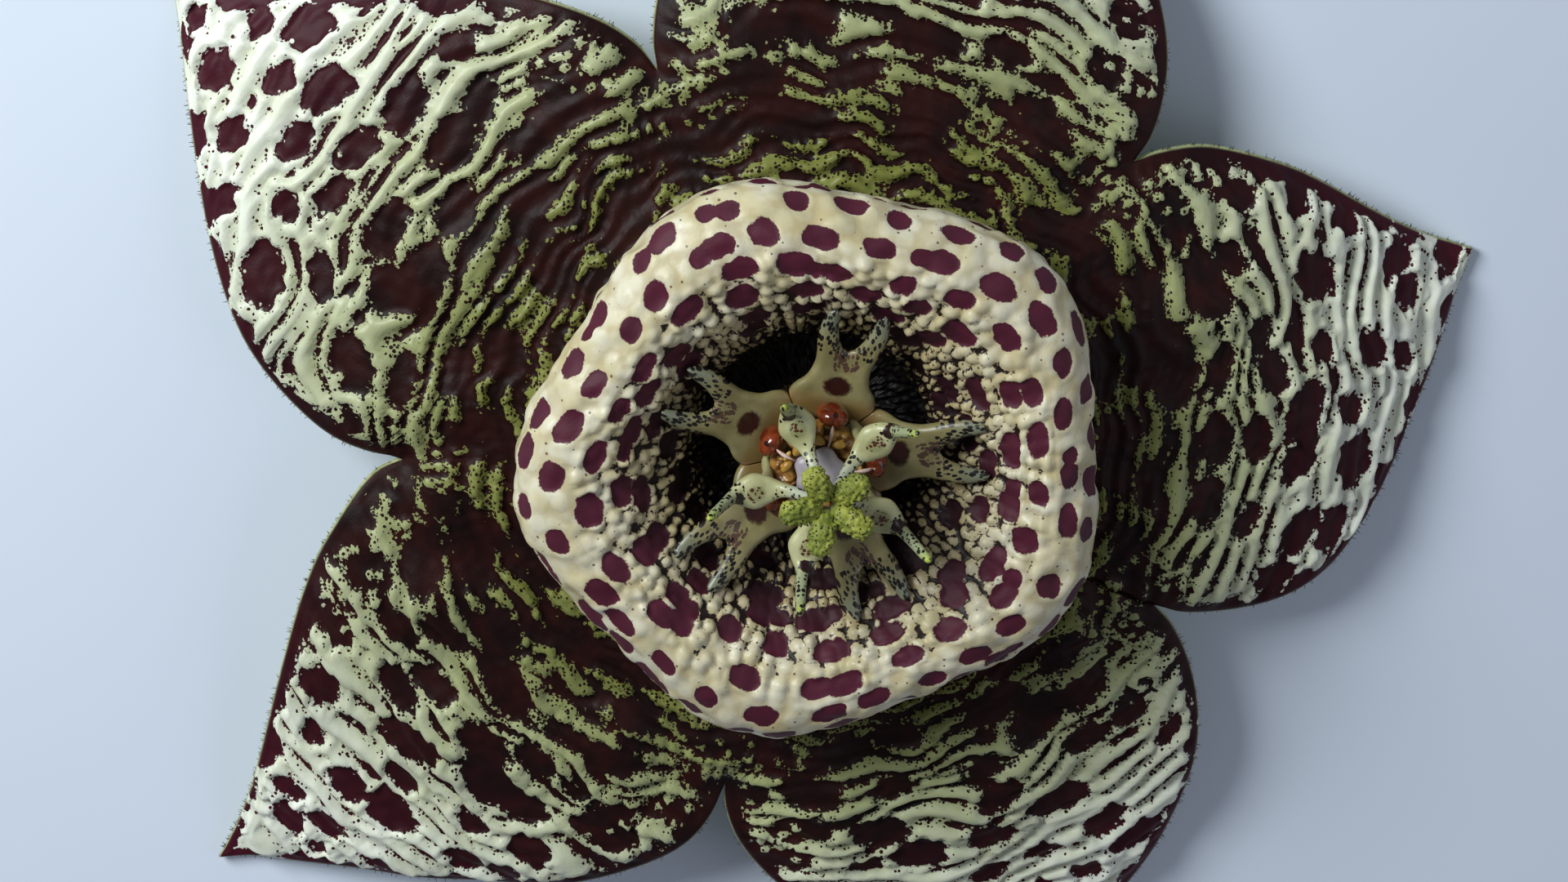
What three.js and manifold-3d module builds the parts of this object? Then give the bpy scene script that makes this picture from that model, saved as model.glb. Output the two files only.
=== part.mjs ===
// A picked starfish flower: a five-lobed corolla with a raised annulus, and inside it the gynostegium,
// which is the column with its corona lobes, anthers, nectar pads, pollinaria and style head.
// It lies face up on the tips of its corolla lobes, with its short pedicel bent flat underneath.
//
// Units are millimetres and +Z is up. The origin is on the surface that the flower lies on, below the
// middle of its outline. While it is being built, the flower's own axis is x = y = 0.
// A lobe's own frame is (along, across): along its middle line from the axis, and across it to the left.

import * as THREE from "three";
import { mergeVertices } from "three/addons/utils/BufferGeometryUtils.js";
import Module from "manifold-3d";

const wasm = await Module();
wasm.setup();

// ---- Driving dimensions ------------------------------------------------------------------------------

// Each sinus between two lobes, counter-clockwise, and the lobe that starts there.
const SINUSES = [
  { angle: -31.0, radius: 20.6 },
  { angle: 39.7, radius: 20.6 },
  { angle: 111.5, radius: 19.8 },
  { angle: 183.7, radius: 20.2 },
  { angle: 257.7, radius: 20.4 },
];

// tip is the lobe's point; right and left are the two handles of each side's curve, from sinus to tip.
const LOBES = [
  { mid: 4.4, tip: [34.8, 3.5], right: [[28.5, -18.0], [31.0, -4.7]], left: [[24.8, 13.0], [29.6, 5.0]] },
  { mid: 75.6, tip: [36.6, 0.9], right: [[25.5, -15.3], [31.5, -4.2]], left: [[25.5, 14.8], [31.5, 4.6]] },
  { mid: 147.6, tip: [37.0, -1.9], right: [[24.0, -14.5], [31.5, -3.9]], left: [[26.5, 15.5], [31.8, 4.2]] },
  { mid: 220.7, tip: [40.2, -0.5], right: [[23.5, -13.8], [34.3, -1.8]], left: [[26.5, 17.5], [33.2, 4.3]] },
  { mid: 293.4, tip: [37.0, -0.8], right: [[26.0, -15.4], [31.8, -4.8]], left: [[25.5, 14.0], [33.0, 7.8]] },
];

const LOBE_COLUMNS = 18; // grid columns across a lobe
const LOBE_ROWS = 7; // grid rows from the disc to the lobe's margin
const ANNULUS_ROWS = 17; // grid rows from the column's hole to the disc

const DISC_RADIUS = 15.6; // where the lobes' surface takes over from the annulus
const DISC_TOP = 7.1;
const TIP_TOP = 0.75; // height of a lobe's upper face at its tip, which lies flat
const ARCH_FOOT = 0.15; // height that the arch would come down to without that flat end
const ARCH_POWER = 1.7; // how late a lobe bends down
const DISC_THICKNESS = 1.4;
const MARGIN_THICKNESS = 0.8;
const MARGIN_ROLL = 0.7; // how far the margins curl down

const COLUMN_HOLE = 2.2;
const PENTAGON = 0.045; // how far the annulus is drawn out towards the sinuses
const PENTAGON_FROM = 6.5; // radius at which the annulus starts to be five-cornered
const PENTAGON_FULL = 13.0;

// Radius and height of the upper face, from the floor round the column, up the throat, over the
// annulus and down its undercut outer wall to the disc.
const ANNULUS_TOP = [
  [COLUMN_HOLE, 6.0],
  [4.3, 6.1],
  [5.7, 7.5],
  [6.6, 9.5],
  [8.0, 11.2],
  [9.6, 12.6],
  [11.4, 13.4],
  [13.2, 13.0],
  [14.25, 11.6],
  [14.0, 10.0],
  [13.4, 8.7],
  [13.7, 7.6],
  [DISC_RADIUS, DISC_TOP],
];
// Radius and height of the lower face, from the disc back to the column's hole.
const UNDERSIDE = [
  [DISC_RADIUS, DISC_TOP - DISC_THICKNESS],
  [13.0, 6.1],
  [10.2, 6.5],
  [7.0, 5.4],
  [4.4, 5.0],
  [COLUMN_HOLE, 5.0],
];

const PETALS = 5;
const FIFTH = 360 / PETALS;
const OUTER_CORONA_ANGLE = 4.2; // the first outer corona lobe; it faces a corolla lobe
const INNER_CORONA_ANGLE = OUTER_CORONA_ANGLE + FIFTH / 2;

const COLUMN_PROFILE = [
  [0, 6.3],
  [1.9, 6.3],
  [1.75, 7.4],
  [1.45, 9.0],
  [1.8, 10.0],
  [1.75, 11.05],
  [0.9, 11.05],
  [0.9, 12.25],
  [0, 12.25],
];
const STYLE_HEAD_PROFILE = [
  [0, 12.3],
  [1.0, 12.3],
  [1.25, 12.6],
  [1.1, 12.9],
  [0.5, 13.1],
  [0, 13.1],
];
const ROUND_SEGMENTS = 30;

// Half of a forked outer corona lobe in plan, from its base round one prong to the fork.
const OUTER_CORONA_HALF = [
  [1.95, 1.35],
  [3.1, 2.15],
  [3.6, 1.95],
  [4.2, 1.55],
  [5.0, 1.38],
  [6.3, 1.6],
  [7.4, 1.65],
  [8.1, 1.45],
  [8.25, 1.2],
  [7.8, 0.95],
  [6.8, 0.7],
  [6.2, 0.35],
  [5.95, 0],
];
const OUTER_CORONA_THICKNESS = 0.7;
const OUTER_CORONA_BASE = 9.63; // underside height at the column
const OUTER_CORONA_RISE = 0.34; // rise per millimetre outwards

// An inner corona lobe from the tip of its outer horn, through its body, to the club of its inner horn:
// along, height, half width and half thickness.
const INNER_CORONA_STATIONS = [
  [5.6, 16.6, 0.13, 0.13],
  [5.3, 16.0, 0.25, 0.23],
  [4.8, 15.1, 0.3, 0.27],
  [4.4, 14.4, 0.4, 0.34],
  [3.95, 14.0, 0.75, 0.42],
  [3.3, 13.85, 0.95, 0.44],
  [2.6, 13.85, 0.72, 0.38],
  [2.0, 14.05, 0.42, 0.32],
  [1.3, 14.7, 0.32, 0.28],
  [0.8, 15.5, 0.28, 0.26],
  [0.65, 16.2, 0.32, 0.3],
  [0.95, 16.85, 0.48, 0.42],
  [1.55, 17.1, 0.56, 0.46],
  [2.1, 17.15, 0.3, 0.26],
];
// The foot that holds an inner corona lobe up from the column, in the same terms, from the bottom up.
const INNER_CORONA_FOOT = [
  [2.5, 10.8, 0.5, 0.25],
  [2.5, 12.0, 0.42, 0.25],
  [2.7, 13.0, 0.5, 0.35],
  [3.0, 13.7, 0.6, 0.5],
];
const HORN_SIDES = 10;

const ANTHER = { inner: 1.0, outer: 2.1, halfAngle: 28, bottom: 11.1, height: 0.95 };
const NECTAR_PAD = { along: 2.75, height: 11.7, radii: [0.5, 0.75, 0.95] };
const POLLINARIUM = { along: 1.7, height: 12.6, spread: 17, pollinium: [0.38, 0.24, 0.2], knot: 0.15 };

const SEPAL = { from: 2.6, to: 8.6, halfWidth: 1.65, thickness: 0.5, height: 4.35, rise: 0.06 };
const SEPAL_STATIONS = 9;
const RECEPTACLE_TOP = 4.7;
const RECEPTACLE_RADIUS = 2.1;
const PEDICEL_RADIUS = 1.25;
const PEDICEL_BEND = 3.1; // radius of the bend under the calyx
const PEDICEL_LENGTH = 17; // from the bend to the cut end
const PEDICEL_ANGLE = 293.4; // it lies under a lobe
const PEDICEL_SWING = 1.1; // how far it wanders sideways
const PEDICEL_SIDES = 16;

// ---- Colours -------------------------------------------------------------------------------------------

const finish = (color, roughness) => new THREE.MeshStandardMaterial({ color, roughness, metalness: 0 });
const COROLLA_FINISH = finish(0xd8d7a2, 0.5);
const CORONA_FINISH = finish(0xc9c492, 0.45);
const COLUMN_FINISH = finish(0xb9ab80, 0.5);
const STYLE_FINISH = finish(0xa79fa0, 0.5);
const ANTHER_FINISH = finish(0xa8742e, 0.35);
const NECTAR_FINISH = finish(0xa03a16, 0.2);
const POLLINARIUM_FINISH = finish(0xc08a32, 0.3);
const GREEN_FINISH = finish(0x8a9a62, 0.55);

// ---- Small helpers -------------------------------------------------------------------------------------

const radians = THREE.MathUtils.degToRad;
const lerp = THREE.MathUtils.lerp;
const smoothstep = THREE.MathUtils.smoothstep;
const vectors2 = (points) => points.map(([x, y]) => new THREE.Vector2(x, y));

function namedMesh(name, geometry, material) {
  const mesh = new THREE.Mesh(geometry, material);
  mesh.name = name;
  return mesh;
}

function indexed(points, triangles) {
  const geometry = new THREE.BufferGeometry().setFromPoints(points);
  geometry.setIndex(triangles);
  return geometry;
}

/** A closed ring-shaped solid from a grid that joins up both ways round. */
function closedGrid(columns, rows, pointAt) {
  const points = [];
  const triangles = [];
  for (let i = 0; i < columns; i++) for (let j = 0; j < rows; j++) points.push(pointAt(i, j));
  const at = (i, j) => (i % columns) * rows + (j % rows);
  for (let i = 0; i < columns; i++) {
    for (let j = 0; j < rows; j++) {
      triangles.push(at(i, j), at(i, j + 1), at(i + 1, j + 1));
      triangles.push(at(i, j), at(i + 1, j + 1), at(i + 1, j));
    }
  }
  return indexed(points, triangles);
}

/** A solid through a row of rings with the same number of points, closed by a fan at each end. */
function loft(rings) {
  const sides = rings[0].length;
  const centreOf = (ring) => ring.reduce((sum, p) => sum.add(p), new THREE.Vector3()).divideScalar(sides);
  const points = [...rings.flat(), centreOf(rings[0]), centreOf(rings.at(-1))];
  const triangles = [];
  const first = points.length - 2;
  const lastRing = (rings.length - 1) * sides;
  for (let k = 0; k < sides; k++) {
    const next = (k + 1) % sides;
    for (let i = 0; i < rings.length - 1; i++) {
      const a = i * sides;
      const b = a + sides;
      triangles.push(a + k, a + next, b + next, a + k, b + next, b + k);
    }
    triangles.push(first, next, k, first + 1, lastRing + k, lastRing + next);
  }
  return indexed(points, triangles);
}

/** An oval ring round a centre, in the plane of two unit vectors. */
function ovalRing(centre, sideways, upwards, halfWidth, halfThickness, sides) {
  return Array.from({ length: sides }, (_, k) => {
    const turn = (2 * Math.PI * k) / sides;
    return centre
      .clone()
      .addScaledVector(sideways, halfWidth * Math.cos(turn))
      .addScaledVector(upwards, halfThickness * Math.sin(turn));
  });
}

function manifoldOf(geometry) {
  const bare = geometry.clone();
  bare.deleteAttribute("normal");
  bare.deleteAttribute("uv");
  const merged = mergeVertices(bare, 1e-4);
  const mesh = new wasm.Mesh({
    numProp: 3,
    vertProperties: merged.attributes.position.array,
    triVerts: new Uint32Array(merged.index.array),
  });
  return new wasm.Manifold(mesh);
}

function joined(geometries) {
  const mesh = geometries.map(manifoldOf).reduce((a, b) => a.add(b)).getMesh();
  const geometry = new THREE.BufferGeometry();
  geometry.setAttribute("position", new THREE.BufferAttribute(mesh.vertProperties, 3));
  geometry.setIndex(new THREE.BufferAttribute(mesh.triVerts, 1));
  return geometry;
}

// ---- Corolla -------------------------------------------------------------------------------------------

const sinusAfter = (k) => {
  const next = SINUSES[(k + 1) % PETALS];
  return { radius: next.radius, angle: k + 1 < PETALS ? next.angle : next.angle + 360 };
};

const polar = (radius, angle) =>
  new THREE.Vector2(radius * Math.cos(radians(angle)), radius * Math.sin(radians(angle)));

/** A point of lobe k, from its own (along, across). */
const lobePoint = (k, [along, across]) =>
  new THREE.Vector2(along, across).rotateAround(new THREE.Vector2(), radians(LOBES[k].mid));

/** The lobe's margin: u is -1 at the sinus before it, 0 at its tip and 1 at the sinus after it. */
function marginPoint(k, u) {
  const lobe = LOBES[k];
  const sinus = u < 0 ? SINUSES[k] : sinusAfter(k);
  const [near, far] = u < 0 ? lobe.right : lobe.left;
  const side = new THREE.CubicBezierCurve(
    polar(sinus.radius, sinus.angle),
    lobePoint(k, near),
    lobePoint(k, far),
    lobePoint(k, lobe.tip),
  );
  return side.getPoint(1 - Math.abs(u));
}

/** Height of the upper face at a point of lobe k that is v of the way from the disc to the margin. */
function lobeTop(k, point, v) {
  const reach = Math.hypot(...LOBES[k].tip);
  const out = THREE.MathUtils.clamp((point.length() - DISC_RADIUS) / (reach - DISC_RADIUS), 0, 1);
  const arch = DISC_TOP - (DISC_TOP - ARCH_FOOT) * out ** ARCH_POWER;
  return Math.max(TIP_TOP, arch - MARGIN_ROLL * v ** 6 * (1 - out));
}

const annulusCurve = new THREE.SplineCurve(vectors2(ANNULUS_TOP));
const undersideCurve = new THREE.SplineCurve(vectors2(UNDERSIDE));
const UNDERSIDE_ROWS = UNDERSIDE.length;

/** A point of the annulus or of the face under it, drawn out towards the sinuses. */
function ringPoint(profile, angle) {
  const corner = Math.cos(radians(PETALS * (angle - SINUSES[1].angle)));
  const share = PENTAGON * smoothstep(profile.x, PENTAGON_FROM, PENTAGON_FULL);
  const flat = polar(profile.x * (1 + share * corner), angle);
  return new THREE.Vector3(flat.x, flat.y, profile.y);
}

/** The corolla: one solid, whose grid runs out over the upper face and back along the lower one. */
function corolla() {
  const rows = ANNULUS_ROWS + 2 * LOBE_ROWS + UNDERSIDE_ROWS;
  const pointAt = (i, j) => {
    const k = Math.floor(i / LOBE_COLUMNS) % PETALS;
    const share = (i % LOBE_COLUMNS) / LOBE_COLUMNS;
    const angle = lerp(SINUSES[k].angle, sinusAfter(k).angle, share);
    if (j < ANNULUS_ROWS) return ringPoint(annulusCurve.getPoint(j / (ANNULUS_ROWS - 1)), angle);
    const row = j - ANNULUS_ROWS;
    if (row >= 2 * LOBE_ROWS)
      return ringPoint(undersideCurve.getPoint((row - 2 * LOBE_ROWS) / (UNDERSIDE_ROWS - 1)), angle);
    const onTop = row < LOBE_ROWS;
    const v = (onTop ? row + 1 : 2 * LOBE_ROWS - row) / LOBE_ROWS;
    const start = ringPoint(new THREE.Vector2(DISC_RADIUS, 0), angle);
    const point = new THREE.Vector2(start.x, start.y).lerp(marginPoint(k, 2 * share - 1), v);
    const top = lobeTop(k, point, v);
    const z = onTop ? top : Math.max(0, top - lerp(DISC_THICKNESS, MARGIN_THICKNESS, v));
    return new THREE.Vector3(point.x, point.y, z);
  };
  return namedMesh("corolla", closedGrid(PETALS * LOBE_COLUMNS, rows, pointAt), COROLLA_FINISH);
}

// ---- Gynostegium ---------------------------------------------------------------------------------------

const lathe = (profile) => new THREE.LatheGeometry(vectors2(profile), ROUND_SEGMENTS).rotateX(Math.PI / 2);

const column = () => namedMesh("staminal_column", lathe(COLUMN_PROFILE), COLUMN_FINISH);

const styleHead = () => namedMesh("style_head", lathe(STYLE_HEAD_PROFILE), STYLE_FINISH);

/** A forked lobe, cut as a flat outline and then tilted up outwards. */
function outerCoronaLobe() {
  const mirrored = OUTER_CORONA_HALF.slice(0, -1).map(([x, y]) => [x, -y]).reverse();
  const outline = new THREE.Shape(vectors2([...OUTER_CORONA_HALF, ...mirrored]));
  const geometry = new THREE.ExtrudeGeometry(outline, { depth: OUTER_CORONA_THICKNESS, bevelEnabled: false });
  const tilt = Math.atan(OUTER_CORONA_RISE);
  return geometry
    .translate(-OUTER_CORONA_HALF[0][0], 0, 0)
    .rotateY(-tilt)
    .translate(OUTER_CORONA_HALF[0][0] + OUTER_CORONA_THICKNESS * Math.sin(tilt), 0, OUTER_CORONA_BASE);
}

/** A loft through oval stations; along is +X and its width lies along Y. */
function ovalLoft(stations) {
  const centres = stations.map(([along, height]) => new THREE.Vector3(along, 0, height));
  const rings = stations.map(([, , halfWidth, halfThickness], i) => {
    const before = centres[Math.max(i - 1, 0)];
    const after = centres[Math.min(i + 1, centres.length - 1)];
    const forward = after.clone().sub(before).normalize();
    const sideways = new THREE.Vector3(0, 1, 0);
    const upwards = forward.clone().cross(sideways);
    return ovalRing(centres[i], sideways, upwards, halfWidth, halfThickness, HORN_SIDES);
  });
  return loft(rings);
}

/** A two-horned lobe on its foot. */
const innerCoronaLobe = () => joined([ovalLoft(INNER_CORONA_STATIONS), ovalLoft(INNER_CORONA_FOOT)]);

/** A pad that spans from one guide rail to the next, under an inner corona lobe. */
function anther() {
  const half = radians(ANTHER.halfAngle);
  const outline = new THREE.Shape();
  outline.absarc(0, 0, ANTHER.outer, -half, half, false);
  outline.absarc(0, 0, ANTHER.inner, half, -half, true);
  const settings = { depth: ANTHER.height, bevelEnabled: false, curveSegments: 6 };
  return new THREE.ExtrudeGeometry(outline, settings).translate(0, 0, ANTHER.bottom);
}

const ellipsoid = ([x, y, z], around = 12, up = 8) => new THREE.SphereGeometry(1, around, up).scale(x, y, z);

const nectarPad = () => ellipsoid(NECTAR_PAD.radii).translate(NECTAR_PAD.along, 0, NECTAR_PAD.height);

/** Two pollinia and the small knot between them that joins them. */
function pollinarium() {
  const { along, height, spread, pollinium, knot } = POLLINARIUM;
  const halves = [-1, 1].map((side) =>
    ellipsoid(pollinium, 10, 6)
      .rotateZ(side * radians(65))
      .translate(along, 0, height)
      .rotateZ(side * radians(spread)),
  );
  const bar = ellipsoid([knot, 2.6 * knot, knot], 10, 6).translate(along + knot, 0, height);
  return joined([...halves, bar]);
}

/** Five copies of a piece round the axis, each its own named mesh. */
function roundTheAxis(name, firstAngle, geometry, material) {
  return Array.from({ length: PETALS }, (_, k) => {
    const mesh = namedMesh(`${name}_${k + 1}`, geometry, material);
    mesh.rotation.z = radians(firstAngle + k * FIFTH);
    return mesh;
  });
}

// ---- Calyx and pedicel ---------------------------------------------------------------------------------

/** A narrow pointed sepal, lying just under the corolla. */
function sepal() {
  const rings = Array.from({ length: SEPAL_STATIONS }, (_, i) => {
    const share = i / (SEPAL_STATIONS - 1);
    const along = lerp(SEPAL.from, SEPAL.to, share);
    const width = SEPAL.halfWidth * Math.max(0.06, Math.sin(Math.PI * (0.28 + 0.72 * share)) ** 0.9);
    const thickness = lerp(SEPAL.thickness, 0.25, share) / 2;
    const centre = new THREE.Vector3(along, 0, SEPAL.height + SEPAL.rise * (along - SEPAL.from));
    return ovalRing(centre, new THREE.Vector3(0, 1, 0), new THREE.Vector3(0, 0, 1), width, thickness, 12);
  });
  return loft(rings);
}

/** The receptacle and stalk: down from the calyx, round a tight bend and flat along the surface. */
function pedicel() {
  const path = [];
  const add = (x, y, z, radius) => path.push({ centre: new THREE.Vector3(x, y, z), radius });
  const bendTop = PEDICEL_RADIUS + PEDICEL_BEND;
  add(0, 0, RECEPTACLE_TOP, RECEPTACLE_RADIUS);
  for (const turn of [10, 25, 40, 55, 70, 85]) {
    const radius = lerp(1.55, PEDICEL_RADIUS, turn / 85);
    const across = PEDICEL_BEND * (1 - Math.cos(radians(turn)));
    add(across, 0, bendTop - PEDICEL_BEND * Math.sin(radians(turn)) + radius - PEDICEL_RADIUS, radius);
  }
  const steps = 9;
  for (let i = 1; i <= steps; i++) {
    const share = i / steps;
    const swing = PEDICEL_SWING * Math.sin(Math.PI * share) * share;
    add(PEDICEL_BEND + PEDICEL_LENGTH * share, swing, PEDICEL_RADIUS, PEDICEL_RADIUS);
  }
  const rings = path.map(({ centre, radius }, i) => {
    const before = path[Math.max(i - 1, 0)].centre;
    const after = path[Math.min(i + 1, path.length - 1)].centre;
    const forward = i === 0 ? new THREE.Vector3(0, 0, -1) : after.clone().sub(before).normalize();
    const sideways = new THREE.Vector3(0, 1, 0).addScaledVector(forward, -forward.y).normalize();
    const upwards = forward.clone().cross(sideways);
    return ovalRing(centre, sideways, upwards, radius, radius, PEDICEL_SIDES);
  });
  const mesh = namedMesh("pedicel", loft(rings), GREEN_FINISH);
  mesh.rotation.z = radians(PEDICEL_ANGLE);
  return mesh;
}

// ---- Flower --------------------------------------------------------------------------------------------

const flower = new THREE.Group();
flower.add(
  corolla(),
  column(),
  styleHead(),
  ...roundTheAxis("outer_corona_lobe", OUTER_CORONA_ANGLE, outerCoronaLobe(), CORONA_FINISH),
  ...roundTheAxis("nectar_pad", OUTER_CORONA_ANGLE, nectarPad(), NECTAR_FINISH),
  ...roundTheAxis("pollinarium", OUTER_CORONA_ANGLE, pollinarium(), POLLINARIUM_FINISH),
  ...roundTheAxis("inner_corona_lobe", INNER_CORONA_ANGLE, innerCoronaLobe(), CORONA_FINISH),
  ...roundTheAxis("anther", INNER_CORONA_ANGLE, anther(), ANTHER_FINISH),
  ...roundTheAxis("sepal", INNER_CORONA_ANGLE, sepal(), GREEN_FINISH),
  pedicel(),
);

// The origin goes below the middle of the outline.
flower.updateMatrixWorld(true);
const middle = new THREE.Box3().setFromObject(flower).getCenter(new THREE.Vector3());
flower.position.set(-middle.x, -middle.y, 0);

export default flower;
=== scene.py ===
"""A picked starfish flower, lying face up on the tips of its corolla lobes.

Sizes in this file are millimetres from the flower's own axis, with +Z up from the surface it lies on.
placed() turns them into metres in the row's frame. A lobe's own frame is (along, across): along its middle
line from the axis, and across it to the left.
"""
import math

import bmesh
import bpy
import numpy as np
from mathutils import Matrix, Vector


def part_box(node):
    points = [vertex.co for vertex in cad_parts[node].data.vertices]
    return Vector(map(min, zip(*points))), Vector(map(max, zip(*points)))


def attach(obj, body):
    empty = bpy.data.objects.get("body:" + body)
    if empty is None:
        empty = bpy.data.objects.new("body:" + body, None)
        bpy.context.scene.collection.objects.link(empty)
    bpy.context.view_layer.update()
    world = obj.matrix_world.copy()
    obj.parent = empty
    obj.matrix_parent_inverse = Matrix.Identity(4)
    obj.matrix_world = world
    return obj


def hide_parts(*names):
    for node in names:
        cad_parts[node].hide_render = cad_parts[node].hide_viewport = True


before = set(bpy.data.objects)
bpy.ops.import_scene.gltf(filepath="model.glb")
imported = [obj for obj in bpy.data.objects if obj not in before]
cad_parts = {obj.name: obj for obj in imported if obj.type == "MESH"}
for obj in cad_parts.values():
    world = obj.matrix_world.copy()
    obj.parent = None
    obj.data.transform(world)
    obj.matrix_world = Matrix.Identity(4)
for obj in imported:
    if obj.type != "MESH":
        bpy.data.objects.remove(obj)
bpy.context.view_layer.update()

MM = 0.001
column_low, column_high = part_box("staminal_column")
AXIS = (column_low + column_high) / 2 / MM
PETALS = 5
FIFTH = 2 * math.pi / PETALS

# ---- Corolla dimensions --------------------------------------------------------------------------------

SINUS_ANGLE = np.radians([-31.0, 39.7, 111.5, 183.7, 257.7, 329.0])
SINUS_RADIUS = np.array([20.6, 20.6, 19.8, 20.2, 20.4, 20.6])
# Middle angle, tip, and the two handles of each side's curve from sinus to tip.
LOBES = [
    (4.4, (34.8, 3.5), ((28.5, -18.0), (31.0, -4.7)), ((24.8, 13.0), (29.6, 5.0))),
    (75.6, (36.6, 0.9), ((25.5, -15.3), (31.5, -4.2)), ((25.5, 14.8), (31.5, 4.6))),
    (147.6, (37.0, -1.9), ((24.0, -14.5), (31.5, -3.9)), ((26.5, 15.5), (31.8, 4.2))),
    (220.7, (40.2, -0.5), ((23.5, -13.8), (34.3, -1.8)), ((26.5, 17.5), (33.2, 4.3))),
    (293.4, (37.0, -0.8), ((26.0, -15.4), (31.8, -4.8)), ((25.5, 14.0), (33.0, 7.8))),
]
REACH = np.array([math.hypot(*lobe[1]) for lobe in LOBES])

DISC_RADIUS, DISC_TOP = 15.6, 7.1
TIP_TOP, ARCH_FOOT, ARCH_POWER = 0.75, 0.15, 1.7
MARGIN_THICKNESS, DISC_THICKNESS = 0.62, 1.4
RIM_BULGE = 0.22
MARGIN_ROLL = 0.7
GROOVE_RADIUS = 13.1
HOLE_RADIUS = 2.3
PENTAGON, PENTAGON_FROM, PENTAGON_FULL = 0.045, 6.5, 13.0

# Radius and height of the annulus from the throat's floor to the groove round its foot.
ANNULUS = np.array([
    (2.2, 6.05), (4.3, 6.15), (5.7, 7.5), (6.6, 9.5), (8.0, 11.2), (9.6, 12.55),
    (11.4, 13.3), (13.1, 12.9), (14.1, 11.6), (13.95, 10.0), (13.4, 8.7), (13.2, 7.2),
])
# The same along its hidden lower side, back to the start.
ANNULUS_BASE = [(13.2, 7.2), (12.6, 7.3), (10.2, 7.15), (8.0, 6.6), (4.5, 5.85), (2.2, 5.5), (2.2, 6.05)]
# Radius and height of the lower face inside the lobes.
UNDERSIDE = np.array([(15.6, 5.7), (13.0, 6.1), (10.2, 6.5), (7.0, 5.4), (4.4, 5.0), (2.3, 5.0)])


# ---- Small tools ---------------------------------------------------------------------------------------

CURVE_SAMPLES = 200
MERGE = 2e-4

def placed(points):
    """Millimetres from the flower's axis, as metres in the row's frame."""
    return (np.asarray(points, float) + (AXIS.x, AXIS.y, 0.0)) * MM


def smooth(value, low, high):
    """0 below low and 1 above high, with a soft step between."""
    share = np.clip((np.asarray(value, float) - low) / (high - low), 0.0, 1.0)
    return share * share * (3.0 - 2.0 * share)


def polar(radius, angle):
    return np.stack([radius * np.cos(angle), radius * np.sin(angle)], axis=-1)


def turned(points, angle):
    """Points turned about the flower's axis."""
    cos, sin = math.cos(angle), math.sin(angle)
    out = np.array(points, float)
    out[..., 0], out[..., 1] = cos * points[..., 0] - sin * points[..., 1], (
        sin * points[..., 0] + cos * points[..., 1])
    return out


def flowing(points, count):
    """A smooth curve through a few points, resampled at even steps."""
    points = np.asarray(points, float)
    ends = np.vstack([2 * points[0] - points[1], points, 2 * points[-1] - points[-2]])
    at = np.linspace(0, len(points) - 1, (len(points) - 1) * CURVE_SAMPLES + 1)
    i = np.minimum(at.astype(int), len(points) - 2)
    t = (at - i)[:, None]
    p0, p1, p2, p3 = ends[i], ends[i + 1], ends[i + 2], ends[i + 3]
    curve = 0.5 * (2 * p1 + (p2 - p0) * t + (2 * p0 - 5 * p1 + 4 * p2 - p3) * t ** 2
                   + (3 * p1 - p0 - 3 * p2 + p3) * t ** 3)
    return evened(curve, count)


def evened(curve, count):
    """The same curve with its points at even steps along it."""
    steps = np.linalg.norm(np.diff(curve, axis=0), axis=1)
    length = np.concatenate([[0.0], np.cumsum(steps)])
    at = np.linspace(0, length[-1], count)
    return np.stack([np.interp(at, length, curve[:, k]) for k in range(curve.shape[1])], axis=1)


def along(curve, share):
    """Points at these shares of an evened curve."""
    at = np.asarray(share) * (len(curve) - 1)
    steps = np.arange(len(curve))
    return np.stack([np.interp(at, steps, curve[:, k]) for k in range(curve.shape[1])], axis=-1)


# ---- Grown patterns ------------------------------------------------------------------------------------

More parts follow.
